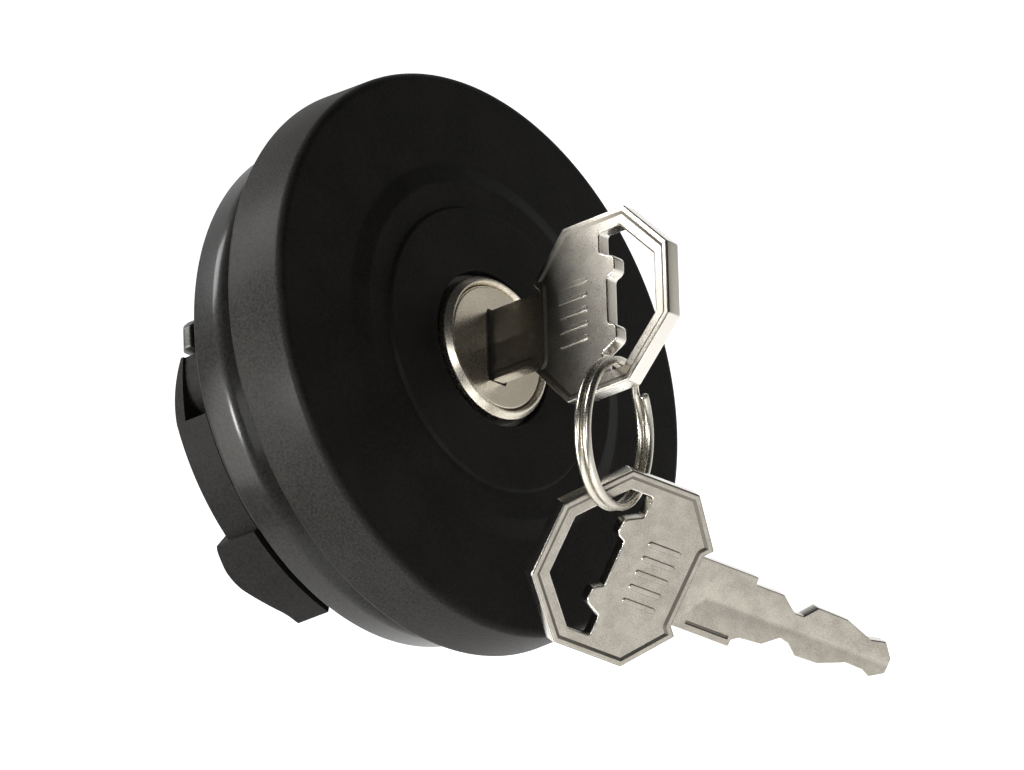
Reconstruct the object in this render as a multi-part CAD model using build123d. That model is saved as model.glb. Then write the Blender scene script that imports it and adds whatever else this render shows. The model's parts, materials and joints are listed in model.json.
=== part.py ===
"""Locking bayonet fuel filler cap with two keys on a split ring.

Modelled along the cap's own axis: z runs outward from the neck seat, y is up when the cap
is fitted in a vehicle's side, x is to the right as seen from in front.  The finished solids
are turned so that the cap faces -Y and stands on +Z as fitted.
"""
from build123d import *
from math import cos, degrees, hypot, radians, sin
import os

os.makedirs("parts", exist_ok=True)

# ---- driving dimensions, millimetres and degrees ------------------------------------------
# cover
COVER_R = 40.0
COVER_RIM_H = 9.8
COVER_FLARE = 0.2
COVER_WALL = 2.4
FACE_EDGE_ROUND = 1.1
SKIRT_EDGE_ROUND = 0.6
FACE_CROWN = 0.5
PLATEAU_R = 24.0
PLATEAU_H = 0.9
PLATEAU_RAMP = 2.6
PLATEAU_WALL = 2.6
PLATEAU_ROUND = 1.5
PLATEAU_SHIFT = 0.6
RAMP_ROUND = 2.0
INSIDE_ROUND = 1.0
DISC_R = 20.0
DISC_STEP = 0.6
DISC_STEP_W = 0.3
COVER_GAP = 2.4

# body
FLANGE_R = 35.8
FLANGE_T = 2.6
FLANGE_EDGE_ROUND = 0.4
DRUM_DRAFT = 0.6
DRUM_H = 8.0
DRUM_ROUND = 3.0
SPIGOT_R = 29.5
SPIGOT_WALL = 2.5
SPIGOT_DEPTH = 4.5
BODY_WALL = 2.4
POCKET_R = 32.0
POCKET_RIBS = 12
RIB_T = 1.2
RIB_DROP = 1.0
RIB_ANGLE = 15.0
HUB_WALL = 2.5
HUB_RIBS = 6
HUB_RIB_L = 6.0
HUB_RIB_H = 5.0
HUB_RIB_TIP = 0.4

# gasket between the flange and the neck
GASKET_T = 1.6
GASKET_FIT = 0.2
GASKET_W = 4.3

# bayonet cams, alike on opposite sides: a stop block, a lug and a thin rising lead-in
CAM_COUNT = 2
CAM_R = 34.0
CAM_DEPTH = 5.4
CAM_START = 155.0
CAM_END = 184.0
LUG_R = 35.0
LUG_END = 211.0
LUG_STEP = 6.9
LUG_DEPTH = 8.3
LUG_TAIL = 5.6
LUG_TAIL_L = 2.0
LUG_ROUND = 1.0
CAM_WALL = 1.3
CAM_POCKET_DEPTH = 4.0
LEAD_SWEEP = 14.5
LEAD_LIFT = 2.8
LEAD_STRAP = 1.6
LEAD_TIP = 0.4
# the strap's middle, as shares of its half length and of its lift
LEAD_MIDDLE = (0.1, 0.3)
LEAD_FLOOR_R = 30.8
LEAD_TOP_R = 33.6

# lock
KEYWAY_ANGLE = 45.0
BOLT_ANGLE = 135.0
HOUSING_R = 10.9
HOUSING_FIT = 0.1
HOUSING_CLEAR = 0.3
COLLAR_W = 2.3
COLLAR_T = 2.4
NOSE_R = 9.6
NOSE_H = 1.4
MOAT_DEPTH = 1.6
BARREL_R = 7.5
BARREL_HEAD_R = 8.7
BARREL_HEAD_T = 2.3
BARREL_FIT = 0.05
BEZEL_WALL = 0.6
BEZEL_LIP_R = 8.95
BEZEL_PROUD = 1.2
BEZEL_ROUND = 0.45
CAP_SINK = 0.5
CAP_DISC_T = 0.6
CAP_SLOT_L = 12.2
CAP_SLOT_W = 3.9
CAP_SLOT_FLAT = 10.6
WAFER_COUNT = 5
WAFER_T = 0.8
WAFER_PITCH = 3.4
WAFER_FIRST = 5.4
WAFER_W = 6.4
WAFER_GROOVE = 1.1
WAFER_CORNER = 0.3
SEAL_R = 0.75
SEAL_AT = 3.6
SEAL_SIDE_FIT = 0.1

# bolt work
BOLT_W = 5.0
BOLT_T = 2.5
BOLT_TAIL = 0.5
BOLT_OUT_R = 34.5
BOLT_TRAVEL = 5.5
BOLT_BEVEL = 1.2
BOLT_FIT = 0.05
BOLT_SINK = 0.1
BOLT_CORNER = 0.5
GUIDE_WALL = 1.6
GUIDE_CLEAR = 1.0
TURN = 90.0
FOLLOWER_R = 1.5
FOLLOWER_AT = 17.0
CAM_PLATE_T = 2.1
CAM_PLATE_EDGE = 1.3
CAM_HUB_R = 9.0
CAM_FAN_MARGIN = 14.0
TAIL_SIDE = 7.0
TAIL_L = 3.8
TAIL_FIT = 0.02
CLIP_T = 0.6
CLIP_R = 6.2
CLIP_NECK_R = 3.0
CLIP_GRIP = 0.4

# rear cover, valve and screws
REAR_WALL = 1.6
REAR_GAP = 0.25
REAR_FIT = 0.1
DISH_R = 21.8
DISH_ROUND = 1.5
DISH_INSIDE_ROUND = 0.8
DISH_CLEAR = 0.5
VALVE_AT = 12.0
VALVE_R = 4.5
VALVE_STEM_R = 1.4
VALVE_TAIL_R = 1.0
VALVE_BULB_R = 1.9
VALVE_TAIL_L = 1.2
VALVE_LIP_T = 0.3
VALVE_CROWN = 0.9
VENT_HOLES = 4
VENT_HOLE_AT = 3.0
VENT_HOLE_R = 0.7
SCREW_AT = 24.4
SCREW_R = 1.4
SCREW_FIT = 0.02
SCREW_HEAD_R = 2.4
SCREW_HEAD_T = 1.7
SCREW_RECESS = 0.9
SCREW_DOME = 1.0
CROSS_REACH = 1.45
CROSS_HALF = 0.3
BOSS_R = 3.0
SCREW_COUNT = 3
COVER_SCREW_ANGLE = 75.0
COVER_SCREW_L = 10.0
PILOT_END = 0.8
REAR_PILOT_END = 2.0
SCREW_CLEAR = 0.2
WEB_RISE = 2.0
REAR_SCREW_ANGLE = 45.0
REAR_SCREW_L = 8.0

# key: a stamped octagonal bow, and a thinner neck and blade
KEY_T = 2.5
KEY_EDGE = 0.5
WINDOW_BEVEL = 0.45
BOW_L = 24.6
BOW_HALF = 12.9
BOW_END_HALF = 5.3
BOW_NECK_HALF = 6.4
BOW_NECK_SLOPE = 5.8
BOW_FRAME = 2.6
WINDOW_END = 12.4
BADGE_EDGE = 11.2
BADGE_HALF = 7.2
BUMP_AT = 5.0
BUMP_R = 1.2
BUMP_ROUND = 1.1
BUMP_REACH = 9.7
NECK_L = 8.4
NECK_HALF = 5.2
NECK_STEP = 23.4
BLADE_L = 24.4
BLADE_HALF = 4.2
BLADE_T = 2.0
BLADE_EDGE = 0.15
GROOVE_START = 2.0
BLADE_GROOVE_W = 1.3
BLADE_GROOVE_DEPTH = 0.3
KEYWAY_FIT = 0.1
KEY_END_GAP = 0.7
# cuts along the two edges of the blade: distance from the neck, depth
UPPER_CUTS = ((4.8, 0.0), (7.4, 1.8), (8.9, 1.8), (10.5, 0.0), (15.6, 0.1), (20.2, 1.55), (22.6, 1.1))
LOWER_CUTS = ((0.9, 0.6), (4.6, 0.9), (6.9, 2.6), (8.3, 2.3), (10.1, 1.0), (13.9, 1.1), (18.0, 2.6),
              (20.8, 2.5), (22.2, 1.9))
TIP_HALF = 1.1

# split ring of two close turns
RING_R = 9.85
WIRE_R = 0.6
TURN_GAP = 0.02
CROSSOVER = 30.0

# how the ring hangs in the bow of the key in the lock, and the spare key on the ring
RING_AT_KEY = (10.22, 1.12)
RING_LIE = (19.66, 5.79, 48.88)
RING_AT_SPARE = (9.29, 2.25)
SPARE_ROUND_RING = -149.6
SPARE_LIE = (21.47, -36.88, -39.73)

# ---- heights and places worked out from the driving dimensions -----------------------------
FLANGE_Z = GASKET_T
GASKET_IN_R = SPIGOT_R + GASKET_FIT
GASKET_OUT_R = GASKET_IN_R + GASKET_W
POCKET_FLOOR = FLANGE_Z + FLANGE_T
DRUM_TOP = FLANGE_Z + DRUM_H
DRUM_TOP_R = FLANGE_R + DRUM_DRAFT
PLATE_UNDER = DRUM_TOP - BODY_WALL
CAVITY_R = SPIGOT_R - SPIGOT_WALL
POCKET_IN_R = CAVITY_R + BODY_WALL
SKIRT_Z = DRUM_TOP + COVER_GAP
FACE_Z = SKIRT_Z + COVER_RIM_H
PLATEAU_Z = FACE_Z + FACE_CROWN + PLATEAU_H
DISC_Z = PLATEAU_Z + DISC_STEP
COVER_UNDER = FACE_Z - COVER_WALL
PLATEAU_UNDER = DISC_Z - PLATEAU_WALL
HUB_BORE_R = HOUSING_R + 2 * HOUSING_FIT
HUB_R = HUB_BORE_R + HUB_WALL
GUIDE_FROM = HUB_BORE_R + GUIDE_CLEAR
HUB_TOP = PLATEAU_UNDER - COLLAR_T
HOUSING_TOP = DISC_Z - MOAT_DEPTH
BEZEL_TOP = DISC_Z + BEZEL_PROUD
BARREL_TOP = BEZEL_TOP - CAP_SINK - CAP_DISC_T
HEAD_SEAT = BARREL_TOP - BARREL_HEAD_T
BOLT_TOP = -BOLT_SINK
BOLT_UNDER = BOLT_TOP - BOLT_T
BOLT_IN_R = FOLLOWER_AT - FOLLOWER_R - BOLT_TAIL
BOLT_L = BOLT_OUT_R - BOLT_IN_R
BARREL_END = BOLT_UNDER - 2 * BOLT_FIT
CAM_TOP = BARREL_END - BOLT_FIT
CAM_UNDER = CAM_TOP - CAM_PLATE_T
CAM_PLATE_R = FOLLOWER_AT + FOLLOWER_R + CAM_PLATE_EDGE
TAIL_END = BARREL_END - TAIL_L
RIM_TOP = BOLT_UNDER - REAR_GAP
RIM_UNDER = RIM_TOP - REAR_WALL
DISH_FLOOR = TAIL_END - DISH_CLEAR
BOW_END_Z = BARREL_TOP + BOW_L + NECK_L
WINDOW_HALF = BOW_HALF - BOW_FRAME
OVERLAP = 0.4


# ---- helpers ------------------------------------------------------------------------------
def spot(radius, angle):
    """Point at a radius and angle round the axis."""
    return (radius * cos(radians(angle)), radius * sin(radians(angle)))


def around(count, first):
    """Evenly spaced angles round the axis."""
    return [first + i * 360.0 / count for i in range(count)]


def turned(section, rounds=()):
    """Revolve a closed (radius, height) section; rounds lists (radius, height, fillet)."""
    face = make_face(Plane.XZ * Polyline(*section, close=True))
    for r, z, size in rounds:
        corner = face.vertices().sort_by_distance((r, 0, z))[0]
        face = fillet(corner, size)
    return revolve(face, Axis.Z)


def rod(radius, z0, z1, centre=(0, 0)):
    """Plain cylinder between two heights."""
    return Pos(centre[0], centre[1], (z0 + z1) / 2) * Cylinder(radius, z1 - z0)


def slab(x0, x1, half_width, z0, z1):
    """Plain block between two distances along x and two heights."""
    return Pos((x0 + x1) / 2, 0, (z0 + z1) / 2) * Box(x1 - x0, 2 * half_width, z1 - z0)


def sector(inner, outer, a0, a1, z0, z1):
    """Slice of a ring between two angles."""
    section = make_face(Plane.XZ * Polyline(
        (inner, z0), (outer, z0), (outer, z1), (inner, z1), close=True))
    return Rot(0, 0, a0) * revolve(section, Axis.Z, a1 - a0)


def side_cut(profile, angle, reach):
    """Extrude a profile, drawn as (along the rim, height), outward at an angle."""
    plane = Plane((0, 0, 0), (0, 1, 0), (1, 0, 0))
    return Rot(0, 0, angle) * extrude(plane * profile, reach)


# ---- cover and body -----------------------------------------------------------------------
def outer_cover():
    """Crowned face with its plateau, skirt, screw bosses and the land that sits on the drum."""
    rear_r = COVER_R + COVER_FLARE
    inner = COVER_R - COVER_WALL
    ramp_r = PLATEAU_R + PLATEAU_RAMP
    hole_r = HOUSING_R + HOUSING_FIT
    under_r = PLATEAU_R - PLATEAU_SHIFT
    cover = turned(
        [(hole_r, PLATEAU_UNDER), (under_r, PLATEAU_UNDER), (under_r + PLATEAU_RAMP, COVER_UNDER),
         (inner, COVER_UNDER), (inner, SKIRT_Z), (rear_r, SKIRT_Z), (COVER_R, FACE_Z),
         (ramp_r, FACE_Z + FACE_CROWN), (PLATEAU_R, PLATEAU_Z), (DISC_R + DISC_STEP_W, PLATEAU_Z),
         (DISC_R, DISC_Z), (hole_r, DISC_Z)],
        [(COVER_R, FACE_Z, FACE_EDGE_ROUND), (rear_r, SKIRT_Z, SKIRT_EDGE_ROUND),
         (inner, COVER_UNDER, INSIDE_ROUND), (ramp_r, FACE_Z + FACE_CROWN, RAMP_ROUND),
         (PLATEAU_R, PLATEAU_Z, PLATEAU_ROUND)])
    cover += sector(POCKET_R, DRUM_TOP_R - DRUM_ROUND, 0, 360, DRUM_TOP, COVER_UNDER + OVERLAP)
    for angle in around(SCREW_COUNT, COVER_SCREW_ANGLE):
        boss = rod(BOSS_R, DRUM_TOP, PLATEAU_UNDER + OVERLAP, (SCREW_AT, 0))
        web = slab(SCREW_AT, POCKET_R + OVERLAP, RIB_T / 2, DRUM_TOP + WEB_RISE, COVER_UNDER + OVERLAP)
        pilot = rod(SCREW_R + SCREW_FIT, DRUM_TOP, COVER_UNDER - PILOT_END, (SCREW_AT, 0))
        cover += Rot(0, 0, angle) * (boss + web)
        cover -= Rot(0, 0, angle) * pilot
    return cover


def bayonet_cam():
    """Stop block with its deeper lug, both cored from the rear, and the lead-in beside it."""
    root = CAVITY_R + OVERLAP
    inside_lug = CAM_END + degrees(OVERLAP / CAM_R)
    block = sector(root, CAM_R, CAM_START, inside_lug, -CAM_DEPTH, 0)
    span = radians(LUG_END - CAM_END) * LUG_R / 2
    end = span + OVERLAP
    profile = make_face(Polyline(
        (-span, 0), (-span, -LUG_STEP), (-span / 2, -LUG_DEPTH), (-span / 5, -LUG_DEPTH),
        (span - LUG_TAIL_L, -LUG_TAIL), (end, -LUG_TAIL), (end, 0), close=True))
    for place, size in (((-span, -LUG_STEP, 0), LUG_ROUND), ((-span / 2, -LUG_DEPTH, 0), 2 * LUG_ROUND),
                        ((-span / 5, -LUG_DEPTH, 0), 3 * LUG_ROUND)):
        profile = fillet(profile.vertices().sort_by_distance(place)[0], size)
    lug = sector(root, LUG_R, CAM_END, LUG_END, -LUG_DEPTH, 0)
    lug &= side_cut(profile, (CAM_END + LUG_END) / 2, LUG_R + OVERLAP)
    core_top = CAM_POCKET_DEPTH - CAM_DEPTH
    wall = degrees(CAM_WALL / CAM_R)
    cores = sector(SPIGOT_R, CAM_R - CAM_WALL, CAM_START + 2 * wall, CAM_END - wall, -CAM_DEPTH, core_top)
    cores += sector(SPIGOT_R, LUG_R - CAM_WALL, CAM_END + wall, LUG_END - 2 * wall, -LUG_DEPTH, core_top)
    return block + lug - cores + lead_in() - rod(SPIGOT_R, -SPIGOT_DEPTH, FLANGE_Z)


def lead_in():
    """Thin ramp that draws the neck's tab in, and the rising floor of the notch above it."""
    first = CAM_START - LEAD_SWEEP
    last = CAM_START + degrees(OVERLAP / CAM_R)
    middle = CAM_START - LEAD_SWEEP / 2
    reach = radians(LEAD_SWEEP) * CAM_R / 2 + OVERLAP
    tip = LEAD_LIFT - CAM_DEPTH
    along, lift = LEAD_MIDDLE
    rear = ThreePointArc((-reach, tip), (along * reach, lift * LEAD_LIFT - CAM_DEPTH), (reach, -CAM_DEPTH))
    strap = make_face([rear, Polyline(rear @ 1, (reach, LEAD_STRAP - CAM_DEPTH),
                                      (-reach, tip + LEAD_TIP), rear @ 0)])
    above = make_face([rear, Polyline(rear @ 1, (reach, 0), (-reach, 0), rear @ 0)])
    root = SPIGOT_R - OVERLAP
    body = sector(root, CAM_R, first, last, -CAM_DEPTH, 0) & side_cut(strap, middle, CAM_R + OVERLAP)
    plan = make_face(Polyline(spot(root, first), spot(LEAD_TOP_R, first),
                              spot(LEAD_FLOOR_R, last), spot(root, last), close=True))
    floor = Pos(0, 0, -CAM_DEPTH) * extrude(plan, CAM_DEPTH)
    return body + (floor & side_cut(above, middle, CAM_R + OVERLAP))


def inner_body():
    """Flanged drum with the spigot, the bolt's guide and the bosses for the rear screws."""
    body = turned(
        [(CAVITY_R, -SPIGOT_DEPTH), (SPIGOT_R, -SPIGOT_DEPTH), (SPIGOT_R, FLANGE_Z),
         (FLANGE_R, FLANGE_Z), (DRUM_TOP_R, DRUM_TOP), (POCKET_R, DRUM_TOP),
         (POCKET_R, POCKET_FLOOR), (POCKET_IN_R, POCKET_FLOOR), (POCKET_IN_R, DRUM_TOP),
         (HUB_BORE_R, DRUM_TOP), (HUB_BORE_R, PLATE_UNDER), (CAVITY_R, PLATE_UNDER)],
        [(DRUM_TOP_R, DRUM_TOP, DRUM_ROUND), (FLANGE_R, FLANGE_Z, FLANGE_EDGE_ROUND)])
    rib = slab(POCKET_IN_R - OVERLAP, POCKET_R + OVERLAP, RIB_T / 2,
               POCKET_FLOOR - OVERLAP, DRUM_TOP - RIB_DROP)
    for angle in around(POCKET_RIBS, RIB_ANGLE):
        body += Rot(0, 0, angle) * rib
    for angle in around(SCREW_COUNT, REAR_SCREW_ANGLE):
        boss = rod(BOSS_R, RIM_TOP, PLATE_UNDER + OVERLAP, (SCREW_AT, 0))
        pilot = rod(SCREW_R + SCREW_FIT, RIM_TOP, PLATE_UNDER - REAR_PILOT_END, (SCREW_AT, 0))
        body += Rot(0, 0, angle) * boss
        body -= Rot(0, 0, angle) * pilot
    for angle in around(SCREW_COUNT, COVER_SCREW_ANGLE):
        body -= Rot(0, 0, angle) * rod(SCREW_R + SCREW_CLEAR, PLATE_UNDER, DRUM_TOP, (SCREW_AT, 0))
    half = BOLT_W / 2 + BOLT_FIT
    guide = slab(GUIDE_FROM, CAVITY_R + OVERLAP, half + GUIDE_WALL, BOLT_UNDER, PLATE_UNDER + OVERLAP)
    way = slab(GUIDE_FROM - OVERLAP, SPIGOT_R + OVERLAP, half, BOLT_UNDER - BOLT_FIT, BOLT_TOP + BOLT_FIT)
    return body + Rot(0, 0, BOLT_ANGLE) * guide - Rot(0, 0, BOLT_ANGLE) * way


def lock_tube():
    """Gusseted tube on the drum's top that takes the lock."""
    tube = sector(HUB_BORE_R, HUB_R, 0, 360, DRUM_TOP, HUB_TOP)
    gusset = make_face(Plane.XZ * Polyline(
        (HUB_R - OVERLAP, DRUM_TOP), (HUB_R + HUB_RIB_L, DRUM_TOP),
        (HUB_R + HUB_RIB_L, DRUM_TOP + HUB_RIB_TIP), (HUB_R, DRUM_TOP + HUB_RIB_H),
        (HUB_R - OVERLAP, DRUM_TOP + HUB_RIB_H), close=True))
    gusset = Pos(0, RIB_T / 2, 0) * extrude(gusset, RIB_T)
    for angle in around(HUB_RIBS, RIB_ANGLE):
        tube += Rot(0, 0, angle) * gusset
    return tube


def neck_gasket():
    """Flat rubber ring between the flange and the filler neck."""
    return sector(GASKET_IN_R, GASKET_OUT_R, 0, 360, 0, GASKET_T)


# ---- lock ---------------------------------------------------------------------------------
def lock_housing():
    """Cast sleeve, held by its collar between the body's tube and the cover."""
    bore = BARREL_R + BARREL_FIT
    collar_r = HOUSING_R + COLLAR_W
    head_bore = BARREL_HEAD_R + BARREL_FIT
    low = BOLT_TOP + HOUSING_CLEAR
    nose_top = HOUSING_TOP + NOSE_H
    sleeve = turned(
        [(bore, low), (HOUSING_R, low), (HOUSING_R, HUB_TOP), (collar_r, HUB_TOP),
         (collar_r, PLATEAU_UNDER), (HOUSING_R, PLATEAU_UNDER), (HOUSING_R, HOUSING_TOP),
         (NOSE_R, HOUSING_TOP), (NOSE_R, nose_top), (head_bore, nose_top),
         (head_bore, HEAD_SEAT - BARREL_FIT), (bore, HEAD_SEAT - BARREL_FIT)])
    top = BARREL_TOP - WAFER_FIRST + WAFER_T
    bottom = top - WAFER_COUNT * WAFER_PITCH
    groove = slab(-bore - WAFER_GROOVE, bore + WAFER_GROOVE, WAFER_W / 2 + KEYWAY_FIT, bottom, top)
    return sleeve - Rot(0, 0, KEYWAY_ANGLE) * groove


def lock_bezel():
    """Rolled stainless ring pressed over the sleeve's nose."""
    outer = NOSE_R + BEZEL_WALL
    nose_top = HOUSING_TOP + NOSE_H
    return turned(
        [(NOSE_R, HOUSING_TOP), (outer, HOUSING_TOP), (outer, BEZEL_TOP), (BEZEL_LIP_R, BEZEL_TOP),
         (BEZEL_LIP_R, nose_top), (NOSE_R, nose_top)],
        [(outer, BEZEL_TOP, BEZEL_ROUND), (BEZEL_LIP_R, BEZEL_TOP, BEZEL_ROUND / 2)])


def wafer_height(i):
    """Middle of a wafer, counted down from the key's side."""
    return BARREL_TOP - WAFER_FIRST - i * WAFER_PITCH


def lock_barrel():
    """Turning plug with its keyway, wafer slots, seal groove and square tail."""
    groove_r = BARREL_R - 2 * SEAL_R
    groove_low = BARREL_TOP - SEAL_AT - SEAL_R - SEAL_SIDE_FIT
    groove_high = BARREL_TOP - SEAL_AT + SEAL_R + SEAL_SIDE_FIT
    barrel = turned(
        [(0, BARREL_END), (BARREL_R, BARREL_END), (BARREL_R, groove_low), (groove_r, groove_low),
         (groove_r, groove_high), (BARREL_R, groove_high), (BARREL_R, HEAD_SEAT),
         (BARREL_HEAD_R, HEAD_SEAT), (BARREL_HEAD_R, BARREL_TOP), (0, BARREL_TOP)])
    floor = BARREL_TOP - BLADE_L - KEY_END_GAP
    cuts = slab(-BLADE_HALF - 2 * KEYWAY_FIT, BLADE_HALF + 2 * KEYWAY_FIT,
                BLADE_T / 2 + KEYWAY_FIT, floor, BARREL_TOP + OVERLAP)
    for i in range(WAFER_COUNT):
        z = wafer_height(i)
        cuts += slab(-BARREL_R - OVERLAP, BARREL_R + OVERLAP, WAFER_W / 2 + BARREL_FIT,
                     z - WAFER_T / 2 - BARREL_FIT, z + WAFER_T / 2 + BARREL_FIT)
    barrel -= Rot(0, 0, KEYWAY_ANGLE) * cuts
    tail = slab(-TAIL_SIDE / 2, TAIL_SIDE / 2, TAIL_SIDE / 2, TAIL_END, BARREL_END)
    neck = slab(-TAIL_SIDE, TAIL_SIDE, TAIL_SIDE, CAM_UNDER - CLIP_T, CAM_UNDER)
    neck -= rod(CLIP_NECK_R, TAIL_END, BARREL_END)
    return barrel + (tail - neck)


def barrel_cap():
    """Stainless disc crimped on the barrel's head, with the slot for the key."""
    disc = rod(BARREL_HEAD_R + BARREL_FIT, BARREL_TOP, BARREL_TOP + CAP_DISC_T)
    disc = fillet(disc.edges().sort_by(Axis.Z)[-1], CAP_DISC_T / 2)
    slot = SlotOverall(CAP_SLOT_L, CAP_SLOT_W) & Rectangle(CAP_SLOT_FLAT, CAP_SLOT_W)
    return disc - Rot(0, 0, KEYWAY_ANGLE) * Pos(0, 0, BARREL_TOP) * extrude(slot, CAP_DISC_T)


def wafer(i):
    """Stamped brass tumbler with the window that the blade runs through."""
    plate = Rectangle(2 * BARREL_R, WAFER_W) & Circle(BARREL_R - BARREL_FIT)
    window = RectangleRounded(2 * BLADE_HALF + 4 * KEYWAY_FIT, BLADE_T + 2 * KEYWAY_FIT, WAFER_CORNER)
    body = extrude(plate - window, WAFER_T)
    return Rot(0, 0, KEYWAY_ANGLE) * Pos(0, 0, wafer_height(i) - WAFER_T / 2) * body


def barrel_seal():
    """Rubber ring in the barrel's groove."""
    return Pos(0, 0, BARREL_TOP - SEAL_AT) * Torus(BARREL_R - SEAL_R, SEAL_R)


# ---- bolt work ----------------------------------------------------------------------------
def spiral_point(angle, side):
    """Point beside the line that the bolt's follower traces on the turning cam."""
    rise = BOLT_TRAVEL / radians(TURN)
    r = FOLLOWER_AT - rise * radians(BOLT_ANGLE - angle)
    slope = hypot(rise, r)
    out = side * r / slope
    along = -side * rise / slope
    c = cos(radians(angle))
    s = sin(radians(angle))
    return ((r + out) * c - along * s, (r + out) * s + along * c)


def drive_cam():
    """Fan-shaped plate on the barrel's tail; its spiral slot draws the bolt in."""
    low = BOLT_ANGLE - TURN
    steps = [low + TURN * i / 6 for i in range(7)]
    half = FOLLOWER_R + BOLT_FIT
    outer = Spline(*[spiral_point(a, half) for a in steps])
    inner = Spline(*[spiral_point(a, -half) for a in steps])
    slot = make_face([outer, Line(outer @ 1, inner @ 1), inner, Line(inner @ 0, outer @ 0)])
    for angle in (low, BOLT_ANGLE):
        slot += Pos(*spiral_point(angle, 0)) * Circle(half)
    fan = Circle(CAM_PLATE_R) & make_face(Polyline(
        (0, 0), spot(2 * CAM_PLATE_R, low - CAM_FAN_MARGIN), spot(3 * CAM_PLATE_R, low + TURN / 2),
        spot(2 * CAM_PLATE_R, BOLT_ANGLE + CAM_FAN_MARGIN), close=True))
    side = TAIL_SIDE + 2 * TAIL_FIT
    plate = Circle(CAM_HUB_R) + fan - slot - Rectangle(side, side)
    return Pos(0, 0, CAM_UNDER) * extrude(plate, CAM_PLATE_T)


def cam_clip():
    """Spring clip in the tail's groove, open to one side."""
    ring = Circle(CLIP_R) - Circle(CLIP_NECK_R + TAIL_FIT)
    ring -= Pos(CLIP_R / 2, 0) * Rectangle(CLIP_R, 2 * (CLIP_NECK_R - CLIP_GRIP))
    return Pos(0, 0, CAM_UNDER - CLIP_T) * extrude(ring, CLIP_T)


def locking_bolt():
    """Tongue that stands out behind the neck's tab, with the pin that the cam drives."""
    half = BOLT_W / 2
    side = make_face(Plane.XZ * Polyline(
        (BOLT_IN_R, BOLT_UNDER), (BOLT_OUT_R - BOLT_BEVEL, BOLT_UNDER),
        (BOLT_OUT_R, BOLT_UNDER + BOLT_BEVEL), (BOLT_OUT_R, BOLT_TOP),
        (BOLT_IN_R, BOLT_TOP), close=True))
    bar = Pos(0, half, 0) * extrude(side, BOLT_W)
    plan = Pos(BOLT_IN_R + BOLT_L / 2, 0) * RectangleRounded(BOLT_L, BOLT_W, BOLT_CORNER)
    bar &= Pos(0, 0, BOLT_UNDER) * extrude(plan, BOLT_T)
    pin = rod(FOLLOWER_R, CAM_UNDER + BOLT_FIT, BOLT_UNDER, (FOLLOWER_AT, 0))
    return Rot(0, 0, BOLT_ANGLE) * (bar + pin)


# ---- rear cover, valve and screws -----------------------------------------------------------
def rear_cover():
    """Dished cover that closes the spigot and clears the cam."""
    rim_r = CAVITY_R - REAR_FIT
    floor = DISH_FLOOR - REAR_WALL
    dish_in = DISH_R - REAR_WALL
    cover = turned(
        [(0, floor), (DISH_R, floor), (DISH_R, RIM_UNDER), (rim_r, RIM_UNDER), (rim_r, RIM_TOP),
         (dish_in, RIM_TOP), (dish_in, DISH_FLOOR), (0, DISH_FLOOR)],
        [(DISH_R, floor, DISH_ROUND), (dish_in, DISH_FLOOR, DISH_INSIDE_ROUND)])
    for angle in around(SCREW_COUNT, REAR_SCREW_ANGLE):
        cover -= Rot(0, 0, angle) * rod(SCREW_R + SCREW_CLEAR, RIM_UNDER, RIM_TOP, (SCREW_AT, 0))
    cover -= rod(VALVE_STEM_R + BARREL_FIT, floor, DISH_FLOOR, (0, -VALVE_AT))
    for angle in around(VENT_HOLES, 45):
        x, y = spot(VENT_HOLE_AT, angle)
        cover -= rod(VENT_HOLE_R, floor, DISH_FLOOR, (x, y - VALVE_AT))
    return cover


def vent_valve():
    """Rubber umbrella that lets air in through the holes round its stem."""
    floor = DISH_FLOOR - REAR_WALL
    valve = turned(
        [(0, floor - VALVE_TAIL_L), (VALVE_TAIL_R, floor - VALVE_TAIL_L), (VALVE_BULB_R, floor),
         (VALVE_STEM_R, floor), (VALVE_STEM_R, DISH_FLOOR), (VALVE_R, DISH_FLOOR),
         (VALVE_R, DISH_FLOOR + VALVE_LIP_T), (VALVE_STEM_R, DISH_FLOOR + VALVE_CROWN),
         (0, DISH_FLOOR + VALVE_CROWN)])
    return Pos(0, -VALVE_AT, 0) * valve


def screw(length):
    """Self-tapping screw, seated at height zero and pointing up, with a cross recess."""
    body = turned(
        [(0, -SCREW_HEAD_T), (SCREW_HEAD_R, -SCREW_HEAD_T), (SCREW_HEAD_R, 0), (SCREW_R, 0),
         (SCREW_R, length - SCREW_R), (0, length)],
        [(SCREW_HEAD_R, -SCREW_HEAD_T, SCREW_DOME)])
    arm = slab(-CROSS_REACH, CROSS_REACH, CROSS_HALF, -SCREW_HEAD_T, SCREW_RECESS - SCREW_HEAD_T)
    return body - arm - Rot(0, 0, 90) * arm


# ---- keys and ring --------------------------------------------------------------------------
def bevelled(plate, thickness, size):
    """Bevel every edge of a flat plate's two faces."""
    for z in (-thickness / 2, thickness / 2):
        plate = chamfer(plate.edges().filter_by_position(Axis.Z, z - OVERLAP / 2, z + OVERLAP / 2), size)
    return plate


def key_window(bow):
    """Opening of the bow, inset from its edge and closed by the bumpy side of the badge."""
    window = offset(bow, -BOW_FRAME, kind=Kind.INTERSECTION)
    window &= Pos(WINDOW_END / 2, 0) * Rectangle(WINDOW_END, 2 * BOW_HALF)
    badge = Pos(BADGE_EDGE + BOW_L / 2, 0) * Rectangle(BOW_L, 2 * BADGE_HALF)
    for side in (-1, 1):
        badge += Pos(BUMP_REACH + WINDOW_END / 2, side * BUMP_AT) * RectangleRounded(
            WINDOW_END, 2 * BUMP_R, BUMP_ROUND)
    return window - badge


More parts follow.
